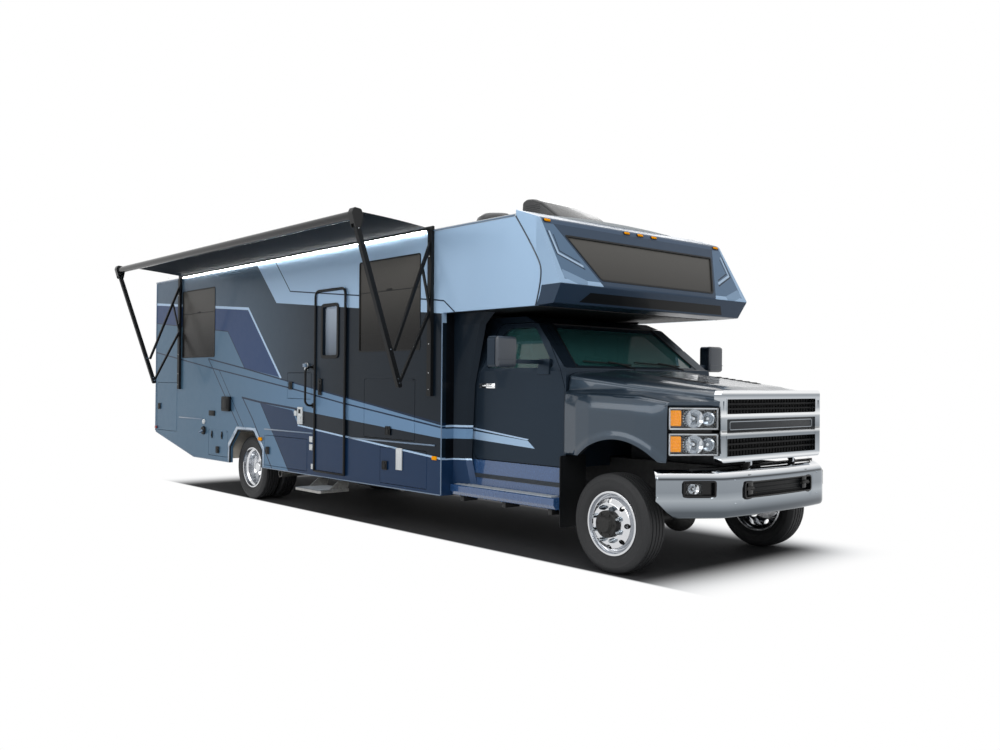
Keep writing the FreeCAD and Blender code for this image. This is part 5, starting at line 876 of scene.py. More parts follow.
def hoodSection(y, share):
    # half a section of the hood, from its middle line over the shoulder to the fender's crease
    half, top, foot = readLine(hood["half"], y), readLine(hood["height"], y), creaseAt(y)
    shelf = smoothShare(-y, 0.10, 0.55)
    points = [(0, top), (half * 0.35, top - 0.002), (half * 0.66, top - 0.008), (half * 0.88, top - 0.021),
              (half, top - 0.048), (half + 0.014, top - 0.085 + 0.012 * shelf),
              (half + 0.022 + (foot.x - half - 0.05) * (0.25 + 0.25 * shelf), foot.y + 0.034 - 0.012 * shelf),
              (foot.x - 0.030, foot.y + 0.016 - 0.004 * shelf), (foot.x, foot.y)]
    return curveThrough(points, share)


def hoodLift(x, y):
    # the raised middle and the shallow valley along it
    share = (y - hood["front"]) / (hood["rear"] - hood["front"])
    half = 0.47 + 0.11 * share
    rise = smoothShare(half - abs(x), 0.0, 0.075) * smoothShare(share, 0.0, 0.10) * smoothShare(1 - share, 0.0, 0.06)
    valley = smoothShare(0.20 + 0.05 * share - abs(x), 0.0, 0.06)
    return rise * (hood["bulge"] - hood["valley"] * valley)


def hoodFront(share):
    # where the hood's skin ends at the grille, or at the slanted top of the lamps
    near, far = frontEnd["lampNear"], frontEnd["lampFar"]
    low, high = near[1] - 0.02, -0.40
    if hoodSection(hood["front"], share).x < near[0] - 0.002:
        return hood["front"]
    for _ in range(30):
        middle = (low + high) / 2
        line = near[0] + (middle - near[1]) * (far[0] - near[0]) / (far[1] - near[1])
        if hoodSection(middle, share).x > line:
            low = middle
        else:
            high = middle
    return middle


def fenderPoint(y, share):
    # from the crease down to the arch or the lower edge, with a rolled lip round the arch
    foot = creaseAt(y)
    reach = hood["archRadius"] ** 2 - (y - hood["archY"]) ** 2
    low = max(hood["low"], hood["archZ"] + math.sqrt(reach)) if reach > 0 else hood["low"]
    z = foot.y + (low - foot.y) * share
    fall = min(1.0, (foot.y - z) / 0.150)
    x = foot.x + (readLine(hood["sideX"], y) - foot.x) * (1 - (1 - fall) ** 2.2)
    out = math.hypot(y - hood["archY"], z - hood["archZ"]) - hood["archRadius"]
    x += hood["lip"] * (1 - smoothShare(out, hood["lipWidth"] - 0.045, hood["lipWidth"]))
    return x, z


def foldEdges(bm, wanted, shift):
    # the open edges whose ends are all wanted are drawn out, each new point by its own shift
    edges = [edge for edge in bm.edges if edge.is_boundary and all(wanted(vert.co - at(0, 0, 0)) for vert in edge.verts)]
    for item in bmesh.ops.extrude_edge_only(bm, edges=edges)["geom"]:
        if isinstance(item, bmesh.types.BMVert):
            item.co += Vector(shift(item.co - at(0, 0, 0)))


def buildHood():
    bm = bmesh.new()
    made = bmesh.ops.create_grid(bm, x_segments=hood["across"], y_segments=hood["along"], size=0.5)["verts"]
    fronts = {}
    for vert in made:
        across, along = vert.co.x * 2, 0.5 - vert.co.y
        key = round(abs(across), 4)
        if key not in fronts:
            fronts[key] = hoodFront(key)
        run = (hood["rear"] - readLine(hoodStations, along)) / (hood["rear"] - hoodStations[-1][1])
        y = hood["rear"] + (fronts[key] - hood["rear"]) * run
        flat = hoodSection(y, key)
        vert.co = at((1 if across >= 0 else -1) * flat.x, y, flat.y + hoodLift(flat.x, y))
    for side in (1, -1):
        made = bmesh.ops.create_grid(bm, x_segments=hood["down"], y_segments=hood["along"], size=0.5)["verts"]
        for vert in made:
            y = readLine(hoodStations, 0.5 - vert.co.y)
            x, z = fenderPoint(y, vert.co.x + 0.5)
            vert.co = at(side * x, y, z)
    bmesh.ops.remove_doubles(bm, verts=bm.verts, dist=0.0004)
    surface = BVHTree.FromBMesh(bm)
    foldEdges(bm, lambda spot: abs(math.hypot(spot.y - hood["archY"], spot.z - hood["archZ"]) - hood["archRadius"]) < 0.003,
              lambda spot: (math.copysign(hood["archTurn"], -spot.x), 0, 0))
    foldEdges(bm, lambda spot: spot.y < -0.50 and spot.z > 1.35,
              lambda spot: (0, 0.006, min((1.360 - spot.z) if abs(spot.x) > 0.716 else -0.075, -0.004)))
    finishPiece("hoodShell", bm, "hoodPaint", "hood", ("hood",), 55, solid=hood["skin"])
    vents = bmesh.new()
    for side in (1, -1):
        made = plate(vents, [(side * 0.305, -0.42, 1.7), (side * 0.400, -0.40, 1.7), (side * 0.440, 0.06, 1.7),
                             (side * 0.372, 0.09, 1.7)], (0, 0, 0.002), 0.02)
        around = {vert for item in made for face in item.link_faces for vert in face.verts}
        drape(around, surface, lambda place: 0.0012 + 0.002 * (place.z > 1.701))
        for number in range(6):
            x, y = side * (0.362 + 0.007 * number), -0.36 + number * 0.08
            slat = block(vents, (x - 0.030, y, 1.698), (x + 0.030, y + 0.014, 1.702), 0.001, 1)
            drape(slat, surface, lambda place: 0.004 + 0.003 * (place.z > 1.70))
    finishPiece("hoodVents", vents, "trimBlack", "hood")


# Front end: bumper, as rows of points that follow one line in plan

bumper = {
    "face": -0.850, "bow": 0.040, "slotHalf": 0.485, "slotLow": 0.640, "slotHigh": 0.772, "fogIn": 0.778, "fogOut": 0.985,
    "fogLow": 0.672, "fogHigh": 0.786, "bend": (0.720, -0.8095), "tip": (1.165, -0.500), "lowTipRise": 0.150, "plate": 0.010,
    "rows": [(0.500, -0.040), (0.5005, -0.026), (0.505, -0.014), (0.516, -0.005), (0.535, 0.0), (0.588, 0.0), (0.640, 0.0),
             (0.672, 0.0), (0.722, 0.0), (0.772, 0.0), (0.786, -0.001), (0.800, -0.004), (0.814, -0.009), (0.828, -0.017),
             (0.841, -0.028), (0.852, -0.041), (0.861, -0.056), (0.868, -0.073), (0.872, -0.092)],
    "boltRadius": 0.011, "hookRadius": 0.014, "fog": (0.072, 0.322),
}


def bumperFront(x):
    return bumper["face"] + bumper["bow"] * (x / bumper["bend"][0]) ** 2


def bumperLine():
    # the bumper's face in plan: a slight bow, a bend and a straight run back to the tip
    front = [Vector((x, bumperFront(x))) for x in
             [bumper["slotHalf"] * number / 12 for number in range(13)] + [0.531, 0.577, 0.623, 0.669]]
    start, knee, end, tip = front[-1], Vector(bumper["bend"]), Vector((0.7618, -0.7808)), Vector(bumper["tip"])
    bend = [start.lerp(knee, t).lerp(knee.lerp(end, t), t) for t in (0.17, 0.33, 0.5, 0.67, 0.83, 1.0)]
    run = [end.lerp(tip, (x - end.x) / (tip.x - end.x)) for x in
           (0.778, 0.819, 0.861, 0.902, 0.944, 0.985, 1.02, 1.055, 1.09, 1.125, 1.15, 1.165)]
    half = front + bend + run
    return [Vector((-point.x, point.y)) for point in reversed(half[1:])] + half


def inGap(spot):
    # whether a place on the bumper's face lies in its slot or in an opening for a fog lamp
    slot = abs(spot.x) < bumper["slotHalf"] and bumper["slotLow"] < spot.z < bumper["slotHigh"]
    fog = bumper["fogIn"] < abs(spot.x) < bumper["fogOut"] and bumper["fogLow"] < spot.z < bumper["fogHigh"]
    return slot or fog


def buildBumper():
    line, rows = bumperLine(), bumper["rows"]
    bm = bmesh.new()
    made = bmesh.ops.create_grid(bm, x_segments=len(line) - 1, y_segments=len(rows) - 1, size=0.5)["verts"]
    for vert in made:
        column = round((vert.co.x + 0.5) * (len(line) - 1))
        z, out = rows[round((vert.co.y + 0.5) * (len(rows) - 1))]
        along = (line[min(column + 1, len(line) - 1)] - line[max(column - 1, 0)]).normalized()
        flat = line[column] + Vector((along.y, -along.x)) * out
        if z < 0.66:
            z += bumper["lowTipRise"] * smoothShare(abs(line[column].x), 1.03, 1.20) * min(1.0, (0.66 - z) / 0.12)
        vert.co = at(flat.x, flat.y, z)
    gaps = [face for face in bm.faces if inGap(face.calc_center_median() - at(0, 0, 0))]
    bmesh.ops.delete(bm, geom=gaps, context="FACES")
    finishPiece("bumperFace", bm, "chrome", "coach", ("front_bumper",), 40, solid=bumper["plate"])
    slot = bmesh.new()
    for side in (1, -1):
        block(slot, (side * 0.360, -0.825, 0.665), (side * 0.430, -0.701, 0.825), 0.004)
    hoop(slot, facing(-0.838, -0.487, 0.487, 0.638, 0.774), 0.012, (0, 0.040, 0), 0.030)
    finishPiece("bumperSlot", slot, "glossBlack", "coach")


def buildBumperParts():
    bolts, black, clear, steel, pane = (bmesh.new() for _ in range(5))
    low, high = bumper["fogLow"], bumper["fogHigh"]
    middle, (a0, a1) = (low + high) / 2, bumper["fog"]
    for side in (1, -1):
        for x, z in ((0.60, 0.79), (0.59, 0.61)):
            face, radius = bumperFront(x), bumper["boltRadius"]
            rod(bolts, (side * x, face + 0.002, z), (side * x, face - 0.004, z), radius, radius * 0.6)
        hook = [(0.37, -0.70, 0.705), (0.37, -0.825, 0.705), (0.37, -0.830, 0.72),
                (0.44, -0.830, 0.72), (0.44, -0.825, 0.705), (0.44, -0.70, 0.705)]
        tube(steel, [(side * x, y, z) for x, y, z in hook], bumper["hookRadius"], 3, sides=12)
        place, panel, push = slanted((0.72, -0.810), bumper["tip"], side)
        hoop(black, panel(a0 - 0.006, a1 + 0.006, 0.004, low - 0.006, high + 0.006), 0.012, push(-0.03), 0.016)
        plate(black, panel(a0, a1, -0.045, low, high), push(-0.004))
        hoop(black, panel(a0 + 0.10, a1 - 0.01, -0.006, low + 0.010, high - 0.010), 0.008, push(-0.03), 0.012)
        lamp = a0 + 0.17
        rod(clear, place(lamp, -0.04, middle), place(lamp, -0.014, middle), 0.016, 0.044, 28, False)
        rod(clear, place(lamp, -0.04, middle), place(lamp, -0.022, middle), 0.010, 0.006, 12)
        plate(pane, panel(a0 + 0.108, a1 - 0.018, -0.012, low + 0.018, high - 0.018), push(0.002), 0.01)
    finishPiece("bumperBolts", bolts, "chrome", "coach")
    finishPiece("towHooks", steel, "castBlack", "coach")
    finishPiece("fogBezels", black, "glossBlack", "coach")
    finishPiece("fogLamps", clear, "mirrorGlass", "coach")
    finishPiece("fogLenses", pane, "clearLens", "coach")
    backing = bmesh.new()
    block(backing, (-0.500, -0.800, 0.628), (0.500, -0.788, 0.784), 0.003)
    for z in (0.665, 0.700, 0.735):
        block(backing, (-0.480, -0.808, z), (0.480, -0.799, z + 0.012), 0.003)
    plate(backing, [(-0.71, -0.69, 0.868), (0.71, -0.69, 0.868), (0.90, -0.60, 0.868), (-0.90, -0.60, 0.868)],
          (0, 0, 0.012), 0.01)
    finishPiece("bumperBacking", backing, "trimBlack", "coach")


buildGrille()
buildHeadlamps()
buildHood()
buildBumper()
buildBumperParts()
print("scene: front end")


# Wheels and tyres

wheelGear = {
    "nuts": 8, "nutCircle": 0.1375, "nutRadius": 0.0175, "coverBolts": 6, "coverCircle": 0.087, "coverLength": 0.062,
    "treadSteps": 96, "frontMount": 1.146, "rearMount": 0.939, "frontCentre": 1.020, "tyreHalf": 0.1138, "radius": 0.4055,
    # each run of a nut: from and to, out of the wheel, then its radii as shares of the nut's, and its sides
    "nutRuns": ((0, 0.010, 1.25, 1.2, 24), (0.010, 0.034, 1, 0.92, 12), (0.034, 0.048, 0.92, 0.55, 12)),
    # half a tyre's section: bead, bulged wall with its raised ribs, shoulder and a tread with four grooves
    "tyre": [(0.083, 0.2484), (0.087, 0.262), (0.096, 0.272), (0.1045, 0.290), (0.1062, 0.2925), (0.1078, 0.2955),
             (0.1105, 0.310), (0.1128, 0.330), (0.1122, 0.346), (0.1138, 0.350), (0.1100, 0.366), (0.1040, 0.3775),
             (0.1018, 0.3815), (0.0975, 0.3905), (0.088, 0.3998), (0.064, 0.4025), (0.0625, 0.3925), (0.0545, 0.3925),
             (0.053, 0.4035), (0.0235, 0.405), (0.022, 0.394), (0.014, 0.394), (0.0125, 0.4052)],
}


def onCircle(y, z, radius, count, offset=0.0):
    # places spaced evenly round an axle's end
    turns = [2 * math.pi * (number + offset) / count for number in range(count)]
    return [(y + radius * math.cos(turn), z + radius * math.sin(turn)) for turn in turns]


def buildNuts(name, body, mount, side, y):
    bm = bmesh.new()
    radius = wheelGear["nutRadius"]
    for cy, cz in onCircle(y, wheelGear["radius"], wheelGear["nutCircle"], wheelGear["nuts"], 0.5):
        for start, end, wide, narrow, steps in wheelGear["nutRuns"]:
            rod(bm, (side * (mount + start), cy, cz), (side * (mount + end), cy, cz), radius * wide, radius * narrow, steps)
    finishPiece(name, bm, "chrome", body)


def buildHubCover(name, body, mount, side):
    bm = bmesh.new()
    length = wheelGear["coverLength"]
    profile = [(0.0005, 0.1095), (0.030, 0.1095), (0.0375, 0.104), (0.0395, 0.072), (length - 0.012, 0.0665),
               (length + 0.002, 0.060), (length + 0.003, 0.034), (length + 0.003, 0.0)]
    lathe(bm, [(side * outward, radius) for outward, radius in profile], (side * mount, 0, wheelGear["radius"]), 48)
    for cy, cz in onCircle(0, wheelGear["radius"], wheelGear["coverCircle"], wheelGear["coverBolts"]):
        rod(bm, (side * (mount + 0.034), cy, cz), (side * (mount + 0.048), cy, cz), 0.009, 0.008, 6)
    finishPiece(name, bm, "castBlack", body)


def buildTyre(bm, centre, side, y):
    half = wheelGear["tyre"]
    full = [(-x, r) for x, r in half] + [(x, r) for x, r in reversed(half)]
    lathe(bm, [(side * (centre + x), r) for x, r in full], (0, y, wheelGear["radius"]), wheelGear["treadSteps"])


def buildWheels():
    rearY = rearHub.y - axleY
    for hand, side in sides:
        front, rear = f"front_wheel_{hand}", f"rear_wheels_{hand}"
        bm = bmesh.new()
        buildTyre(bm, wheelGear["frontCentre"], side, 0)
        finishPiece(f"frontTyre.{hand}", bm, "frontTread", front, (f"front_tyre_{hand}",), 28)
        near, far = sorted(abs(corner.x - middleX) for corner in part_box(f"rear_tyres_{hand}"))
        bm = bmesh.new()
        for centre in (near + wheelGear["tyreHalf"], far - wheelGear["tyreHalf"]):
            buildTyre(bm, centre, side, rearY)
        finishPiece(f"rearTyres.{hand}", bm, "rearTread", rear, (f"rear_tyres_{hand}",), 28)
        buildNuts(f"frontNuts.{hand}", front, wheelGear["frontMount"], side, 0)
        buildNuts(f"rearNuts.{hand}", rear, wheelGear["rearMount"], side, rearY)
        buildHubCover(f"frontHubCover.{hand}", front, wheelGear["frontMount"], side)


buildWheels()
print("scene: wheels and tyres")


# Cab

cab = {"mirrorIn": 1.365, "mirrorOut": 1.600, "mirrorFront": 0.890, "mirrorLow": 1.662, "mirrorHigh": 1.930,
       "half": 1.020, "screenFoot": (0.650, 1.668), "screenHead": (1.110, 2.075), "screenHalf": (0.850, 0.700),
       # each wiper: the ends of its blade and its pivot, across the cab
       "wipers": ((-0.72, -0.10, -0.12), (-0.02, 0.62, 0.60)),
       # the handle's line: out of the door, along and up
       "handle": ((0.003, 1.562, 1.500), (0.026, 1.575, 1.502), (0.030, 1.62, 1.503), (0.030, 1.70, 1.503),
                  (0.026, 1.745, 1.502), (0.003, 1.760, 1.500))}


def onScreen(x, share, out=0.0):
    # a point on the windshield: share is 0 at its foot and 1 at its head
    foot, head = cab["screenFoot"], cab["screenHead"]
    run, rise = head[0] - foot[0], head[1] - foot[1]
    length = math.hypot(run, rise)
    return (x, foot[0] + run * share - rise / length * out, foot[1] + rise * share + run / length * out)


def buildDoorParts(hand, side):
    body = f"cab_door_{hand}"
    near, far, half = cab["mirrorIn"], cab["mirrorOut"], cab["half"]
    front, low, high = cab["mirrorFront"], cab["mirrorLow"], cab["mirrorHigh"]
    shell, glass, handle = (bmesh.new() for _ in range(3))
    block(shell, (side * (near + 0.003), front - 0.034, low + 0.003),
          (side * (far - 0.003), front + 0.012, high - 0.003), 0.026, 4)
    block(shell, (side * (near + 0.010), front - 0.0355, low + 0.066),
          (side * (far - 0.010), front - 0.030, low + 0.072), 0.001, 1)
    for bottom, top in ((low + 0.085, high - 0.018), (low + 0.016, low + 0.076)):
        corners = facing(front + 0.095, side * (near + 0.018), side * (far - 0.018), bottom, top)
        plate(glass, corners, (0, 0.003, 0), 0.02)
    block(handle, (side * (half - 0.002), 1.545, 1.478), (side * (half + 0.004), 1.775, 1.522), 0.0025)
    tube(handle, [(side * (half + out), y, z) for out, y, z in cab["handle"]], 0.0105, 3, sides=12)
    finishPiece(f"mirrorShell.{hand}", shell, "mirrorShell", body)
    finishPiece(f"mirrorGlass.{hand}", glass, "mirrorGlass", body)
    finishPiece(f"doorHandle.{hand}", handle, "chrome", body)


def buildScreenParts():
    wipers, rim = bmesh.new(), bmesh.new()
    for x0, x1, pivot in cab["wipers"]:
        middle = (x0 + x1) / 2
        tube(wipers, [onScreen(x0, 0.13, 0.012), onScreen(middle, 0.095, 0.016), onScreen(x1, 0.07, 0.012)], 0.006, 3)
        tube(wipers, [onScreen(pivot, -0.03, 0.010), onScreen(pivot * 0.9 + x0 * 0.1, 0.04, 0.032),
                      onScreen(middle, 0.10, 0.024)], 0.008, 3)
        rod(wipers, onScreen(pivot, -0.03), onScreen(pivot, -0.03, 0.026), 0.018, 0.014)
    foot, head = cab["screenHalf"]
    corners = ((-foot, 0.0), (foot, 0.0), (head, 1.0), (-head, 1.0))
    tube(rim, [onScreen(x, share, 0.002) for x, share in corners], 0.009, 2, True)
    finishPiece("wipers", wipers, "trimBlack", "coach")
    finishPiece("screenSeal", rim, "trimBlack", "coach")


seats = {
    "middle": 0.520, "cuts": 7, "tuck": 0.12, "firmness": 0.8, "seamAt": 0.52, "seamReach": 0.16, "seamDepth": 0.010,
    # each form: two corners from the seat's middle line, its lean and how far it swells
    "forms": {"seatCushion": ((-0.235, 1.125, 1.130), (0.235, 1.600, 1.272), 0.0, 0.024),
              "seatBack": ((-0.225, 1.600, 1.230), (0.225, 1.735, 1.760), -0.20, 0.030),
              "headrest": ((-0.130, 1.700, 1.745), (0.130, 1.790, 1.828), -0.20, 0.014)},
}


def swell(bm, middle, half, part, crown):
    # crowned faces, corners tucked in, and two seams on the cushion's top and the back's front
    for vert in bm.verts:
        share = Vector([(vert.co[axis] - middle[axis]) / half[axis] for axis in range(3)])
        far = [abs(value) for value in share]
        for axis in range(3):
            a, b = far[:axis] + far[axis + 1:]
            rise = (1 - a ** 2) * (1 - b ** 2) - 0.6
            vert.co[axis] += share[axis] * (crown * rise - seats["tuck"] * (a * b) ** 4 * half[axis])
        depth = seats["seamDepth"] * max(0.0, 1 - abs(far[0] - seats["seamAt"]) / seats["seamReach"])
        if part == "seatCushion" and share.z > 0.99:
            vert.co.z -= depth
        if part == "seatBack" and share.y < -0.99:
            vert.co.y += depth


def buildSeat(hand, side):
    x = side * seats["middle"]
    for part, (low, high, lean, crown) in seats["forms"].items():
        low, high = (x + low[0], *low[1:]), (x + high[0], *high[1:])
        bm = bmesh.new()
        block(bm, low, high)
        bmesh.ops.subdivide_edges(bm, edges=bm.edges, cuts=seats["cuts"], use_grid_fill=True)
        first, second = at(*low), at(*high)
        middle = (first + second) / 2
        swell(bm, middle, (second - first) / 2, part, crown)
        bmesh.ops.rotate(bm, verts=bm.verts, cent=(middle.x, first.y, first.z), matrix=Matrix.Rotation(lean, 3, "X"))
        instead = ("cab_seats",) if (part, hand) == ("seatCushion", "left") else ()
        piece = finishPiece(f"{part}.{hand}", bm, "seatCloth", "coach", instead, 180, 2)
    base = bmesh.new()
    block(base, (x - 0.15, 1.20, 0.925), (x + 0.15, 1.56, 1.135), 0.02)
    for rail in (-0.12, 0.12):
        block(base, (x + rail - 0.02, 1.17, 0.921), (x + rail + 0.02, 1.60, 0.945), 0.006)
    finishPiece(f"seatBase.{hand}", base, "trimBlack", "coach")


for hand, side in sides:
    buildDoorParts(hand, side)
buildScreenParts()
for hand, side in sides:
    buildSeat(hand, side)
print("scene: cab")


# Coach sides

coach = {"windows": ((2.378, 3.473), (7.070, 8.150)), "windowLow": 1.851, "windowHigh": 2.800, "splitHeight": 2.470,
         "entry": (3.752, 4.345, 0.520, 2.535), "pane": (3.897, 4.200, 1.820, 2.368), "archMiddle": 6.122,
         "archPath": ((5.672, 0.445), (5.672, 0.655), (5.907, 0.885), (6.337, 0.885), (6.572, 0.655), (6.572, 0.445)),
         # each seam's radius, how far out of the wall it lies, and its line
         "seams": ((0.009, 0, ((9.128, 0.760), (9.128, 2.985))), (0.007, 0, ((2.022, 0.452), (2.022, 2.190))),
                   (0.006, 0, ((2.030, 0.449), (5.640, 0.449))), (0.008, 0.002, ((1.000, 3.000), (9.120, 3.000))),
                   (0.006, 0, ((6.600, 0.449), (7.700, 0.449), (9.110, 0.741))))}


def buildWindowTrim():
    bm = bmesh.new()
    low, high, split = coach["windowLow"], coach["windowHigh"], coach["splitHeight"]
    for side in (1, -1):
        for y0, y1 in coach["windows"]:
            corners = onWall(side, y0 - 0.006, y1 + 0.006, low - 0.006, high + 0.006, 0.0035)
            hoop(bm, corners, 0.014, (-side * 0.005, 0, 0), 0.028)
            wallBlock(bm, side, (-0.008, -0.003), (y0 + 0.008, y1 - 0.008), span(split, 0.004), 0.0015, 1)
            wallBlock(bm, side, (-0.007, -0.001), span((y0 + y1) / 2, 0.05), (split + 0.006, split + 0.020), 0.002)
    finishPiece("windowTrim", bm, "trimBlack", "coach")


def buildArchTrim():
    outer, inner = bmesh.new(), bmesh.new()
    for side in (1, -1):
        x, base, ring = side * (coachHalf + 0.001), [], []
        for y, z in coach["archPath"]:
            reach = y - coach["archMiddle"]
            grow = 1 + 0.055 / max(abs(reach), 0.25)
            base.append(outer.verts.new(at(x, y, z)))
            ring.append(outer.verts.new(at(x, coach["archMiddle"] + reach * grow, z + (0.045 if z > 0.6 else 0))))
        for index in range(len(base) - 1):
            outer.faces.new((base[index], base[index + 1], ring[index + 1], ring[index]))
        tube(inner, [(side * (coachHalf - 0.002), y, z) for y, z in coach["archPath"]], 0.011)
    finishPiece("archTrim", outer, "archTrim", "coach", solid=0.009)
    finishPiece("archLip", inner, "trimBlack", "coach")


def buildEntryTrim():
    y0, y1, z0, z1 = coach["entry"]
    a0, a1, b0, b1 = coach["pane"]
    frame, door, grab = (bmesh.new() for _ in range(3))
    x = -(coachHalf + 0.0185)
    front, rear, top, foot, turn = y0 - 0.025, y1 + 0.019, z1 + 0.019, z0 - 0.015, 0.16
    path = [(front, foot), (front, top - turn), (front, top), (front + turn, top),
            (rear - turn, top), (rear, top), (rear, top - turn), (rear, foot)]
    tube(frame, [(x, y, z) for y, z in path], 0.0145, 3, sides=12)
    tube(frame, [(x, y0 - 0.019, z0 - 0.012), (x, rear, z0 - 0.012)], 0.010)
    hoop(door, onWall(-1, a0 - 0.034, a1 + 0.034, b0 - 0.034, b1 + 0.034, 0.023), 0.036, (0.010, 0, 0), 0.055)
    for y in (a0 - 0.017, (a0 + a1) / 2, a1 + 0.017):
        for z in (b0 - 0.018, b1 + 0.018):
            wallRod(door, -1, (0.022, 0.0255), y, z, 0.006, 0.004, 10)
    # the latch
    y, z = y1 - 0.130, z0 + 0.855
    wallBlock(door, -1, (0.0145, 0.0275), (y - 0.004, y + 0.069), (z - 0.004, z + 0.184), 0.005)
    wallBlock(door, -1, (0.026, 0.040), (y + 0.012, y + 0.040), (z + 0.030, z + 0.120), 0.006, 3)
    wallRod(door, -1, (0.027, 0.034), y + 0.032, z + 0.152, 0.013, 0.011)
    for z in (1.250, 1.690):
        wallRod(grab, -1, (0.006, 0.014), y1 + 0.083, z, 0.030, 0.022, 28)
    finishPiece("entryFrameTrim", frame, "trimBlack", "coach")
    finishPiece("entryTrim", door, "trimBlack", "entry_door")
    finishPiece("grabFeet", grab, "trimBlack", "coach")


# where each lid's paddle latch sits, along the wall and up
latches = {"front_locker_lid_right": (2.962, 0.670), "middle_locker_lid_right": (5.510, 0.670),
           "middle_locker_lid_left": (5.510, 0.670), "power_hatch_lid_right": (4.947, 1.4735),
           "rear_locker_lid_right": (8.970, 1.1325), "rear_locker_lid_left": (8.970, 1.1325),
           "tall_locker_lid_right": (2.910, 1.028), "service_hatch_lid_right": (6.9345, 0.592)}


def buildLatches():
    for name, (y, z) in latches.items():
        side = 1 if name.endswith("left") else -1
        bm = bmesh.new()
        wallBlock(bm, side, (0.0085, 0.0125), span(y, 0.046), span(z, 0.046), 0.0018)
        hoop(bm, onWall(side, *span(y, 0.044), *span(z, 0.044), 0.0145), 0.008, (-side * 0.004, 0, 0), 0.014)
        wallBlock(bm, side, (0.012, 0.0175), span(y, 0.024), (z - 0.034, z + 0.014), 0.003)
        wallRod(bm, side, (0.012, 0.017), y, z + 0.027, 0.008, 0.007)
        finishPiece(name.replace("_lid_", "Latch."), bm, "trimBlack", name)


fittings = {
    # boxes on the right wall: their reach out of it, along and up, and their rounding
    "black": (((-0.001, 0.045), (6.545, 6.765), (1.120, 1.315), 0.016, 3),
              ((0.043, 0.047), (6.575, 6.735), (1.150, 1.285), 0.006),
              ((-0.001, 0.012), (7.035, 7.215), (1.045, 1.115), 0.004),
              ((0.017, 0.021), (4.685, 4.735), (1.150, 1.200), 0.002)),
    "white": (((-0.001, 0.018), (4.655, 4.765), (1.025, 1.225), 0.006),
              ((0.016, 0.030), (4.675, 4.745), (1.045, 1.115), 0.006),
              ((-0.001, 0.014), (4.790, 4.850), (1.120, 1.180), 0.005),
              ((-0.001, 0.010), (4.426, 4.494), (0.826, 0.894), 0.003),
              ((-0.001, 0.010), (4.426, 4.494), (0.736, 0.804), 0.003),
              ((-0.001, 0.010), (4.390, 4.450), (0.520, 0.580), 0.003),
              ((-0.001, 0.0135), (4.545, 4.620), (1.655, 1.740), 0.005)),
    "filler": (7.385, 0.835, 0.955), "rivets": (2.20, 0.5, 14, 3.045),
    # mouldings on both walls, along and up
    "mouldings": ((7.425, 8.227, 0.990), (2.115, 3.671, 0.920), (4.425, 5.600, 0.930)),
}


def buildWallFittings():
    black, white, steel, amber, red, gauge, latch = (bmesh.new() for _ in range(7))
    for bm, boxes in ((black, fittings["black"]), (white, fittings["white"])):
        for box in boxes:
            wallBlock(bm, -1, *box)
    for number in range(4):
        z = 1.054 + number * 0.014
        wallBlock(black, -1, (0.011, 0.016), (7.045, 7.205), (z, z + 0.006), 0.001, 1)
    y, low, high = fittings["filler"]
    wallRod(black, -1, (-0.001, 0.022), y, low, 0.060, 0.054, 28)
    wallRod(white, -1, (-0.001, 0.016), y, high, 0.036, 0.030, 24)
    rod(steel, (-coachHalf - 0.020, y, low), (-coachHalf - 0.070, y + 0.015, low - 0.030), 0.018, 0.014)
    wallBlock(steel, -1, (0.012, 0.040), (4.548, 4.615), (1.690, 1.735), 0.008)
    wallBlock(amber, -1, (-0.001, 0.024), (5.660, 5.740), (0.780, 0.822), 0.008, 3)
    start, pitch, count, up = fittings["rivets"]
    for side in (1, -1):
        wallBlock(red, side, (-0.001, 0.022), (9.060, 9.120), (0.790, 0.832), 0.008, 3)
        wallBlock(amber, side, (-0.001, 0.022), (2.085, 2.150), (0.780, 0.818), 0.008, 3)
        for y0, y1, z in fittings["mouldings"]:
            wallBlock(steel, side, (-0.001, 0.011), (y0, y1), span(z, 0.008), 0.004)
        for number in range(count):
            wallRod(steel, side, (0, 0.004), start + number * pitch, up, 0.005, 0.003, 8)
    wallBlock(gauge, -1, (0.0005, 0.0155), (2.655, 2.755), (0.640, 0.862), 0.004)
    for y in (7.120, 6.810):
        wallBlock(latch, -1, (0.0005, 0.010), span(y, 0.016), (0.742, 0.842), 0.006)
        wallBlock(latch, -1, (0.008, 0.016), span(y, 0.009), (0.764, 0.804), 0.003)
    finishPiece("wallBoxes", black, "trimBlack", "coach")
    finishPiece("wallOutlets", white, "shellWhite", "coach")
    finishPiece("wallMouldings", steel, "mouldingBlue", "coach")
    finishPiece("sideMarkersAmber", amber, "amberLens", "coach")
    finishPiece("sideMarkersRed", red, "redLens", "coach")
    finishPiece("lockerGauge", gauge, "shellWhite", "front_locker_lid_right")
    finishPiece("hatchTurnLatches", latch, "trimBlack", "service_hatch_lid_right")


def buildSeams():
    # the raised corner and belt mouldings where the coach's panels meet
    bm = bmesh.new()
    for side in (1, -1):
        for radius, out, line in coach["seams"]:
            tube(bm, [(side * (coachHalf + out), y, z) for y, z in line], radius)
    finishPiece("cornerMouldings", bm, "mouldingBlue", "coach")


buildWindowTrim()
buildArchTrim()
buildEntryTrim()
buildLatches()
buildWallFittings()
buildSeams()
print("scene: coach sides")


# Overcab cap and roof gear

cap = {"markers": (-0.17, 0.02, 0.22, 1.20, -1.20), "markerHeight": 2.925,
       "seam": ((0.985, 2.99), (0.700, 2.62), (0.640, 2.44), (0.725, 2.195)),
       # the front window's outline, and its slope as (height, place) pairs
       "window": ((-0.800, 2.414), (0.800, 2.414), (1.052, 2.813), (-1.052, 2.813)),
       "slope": ((2.365, 0.381), (2.952, 0.700))}


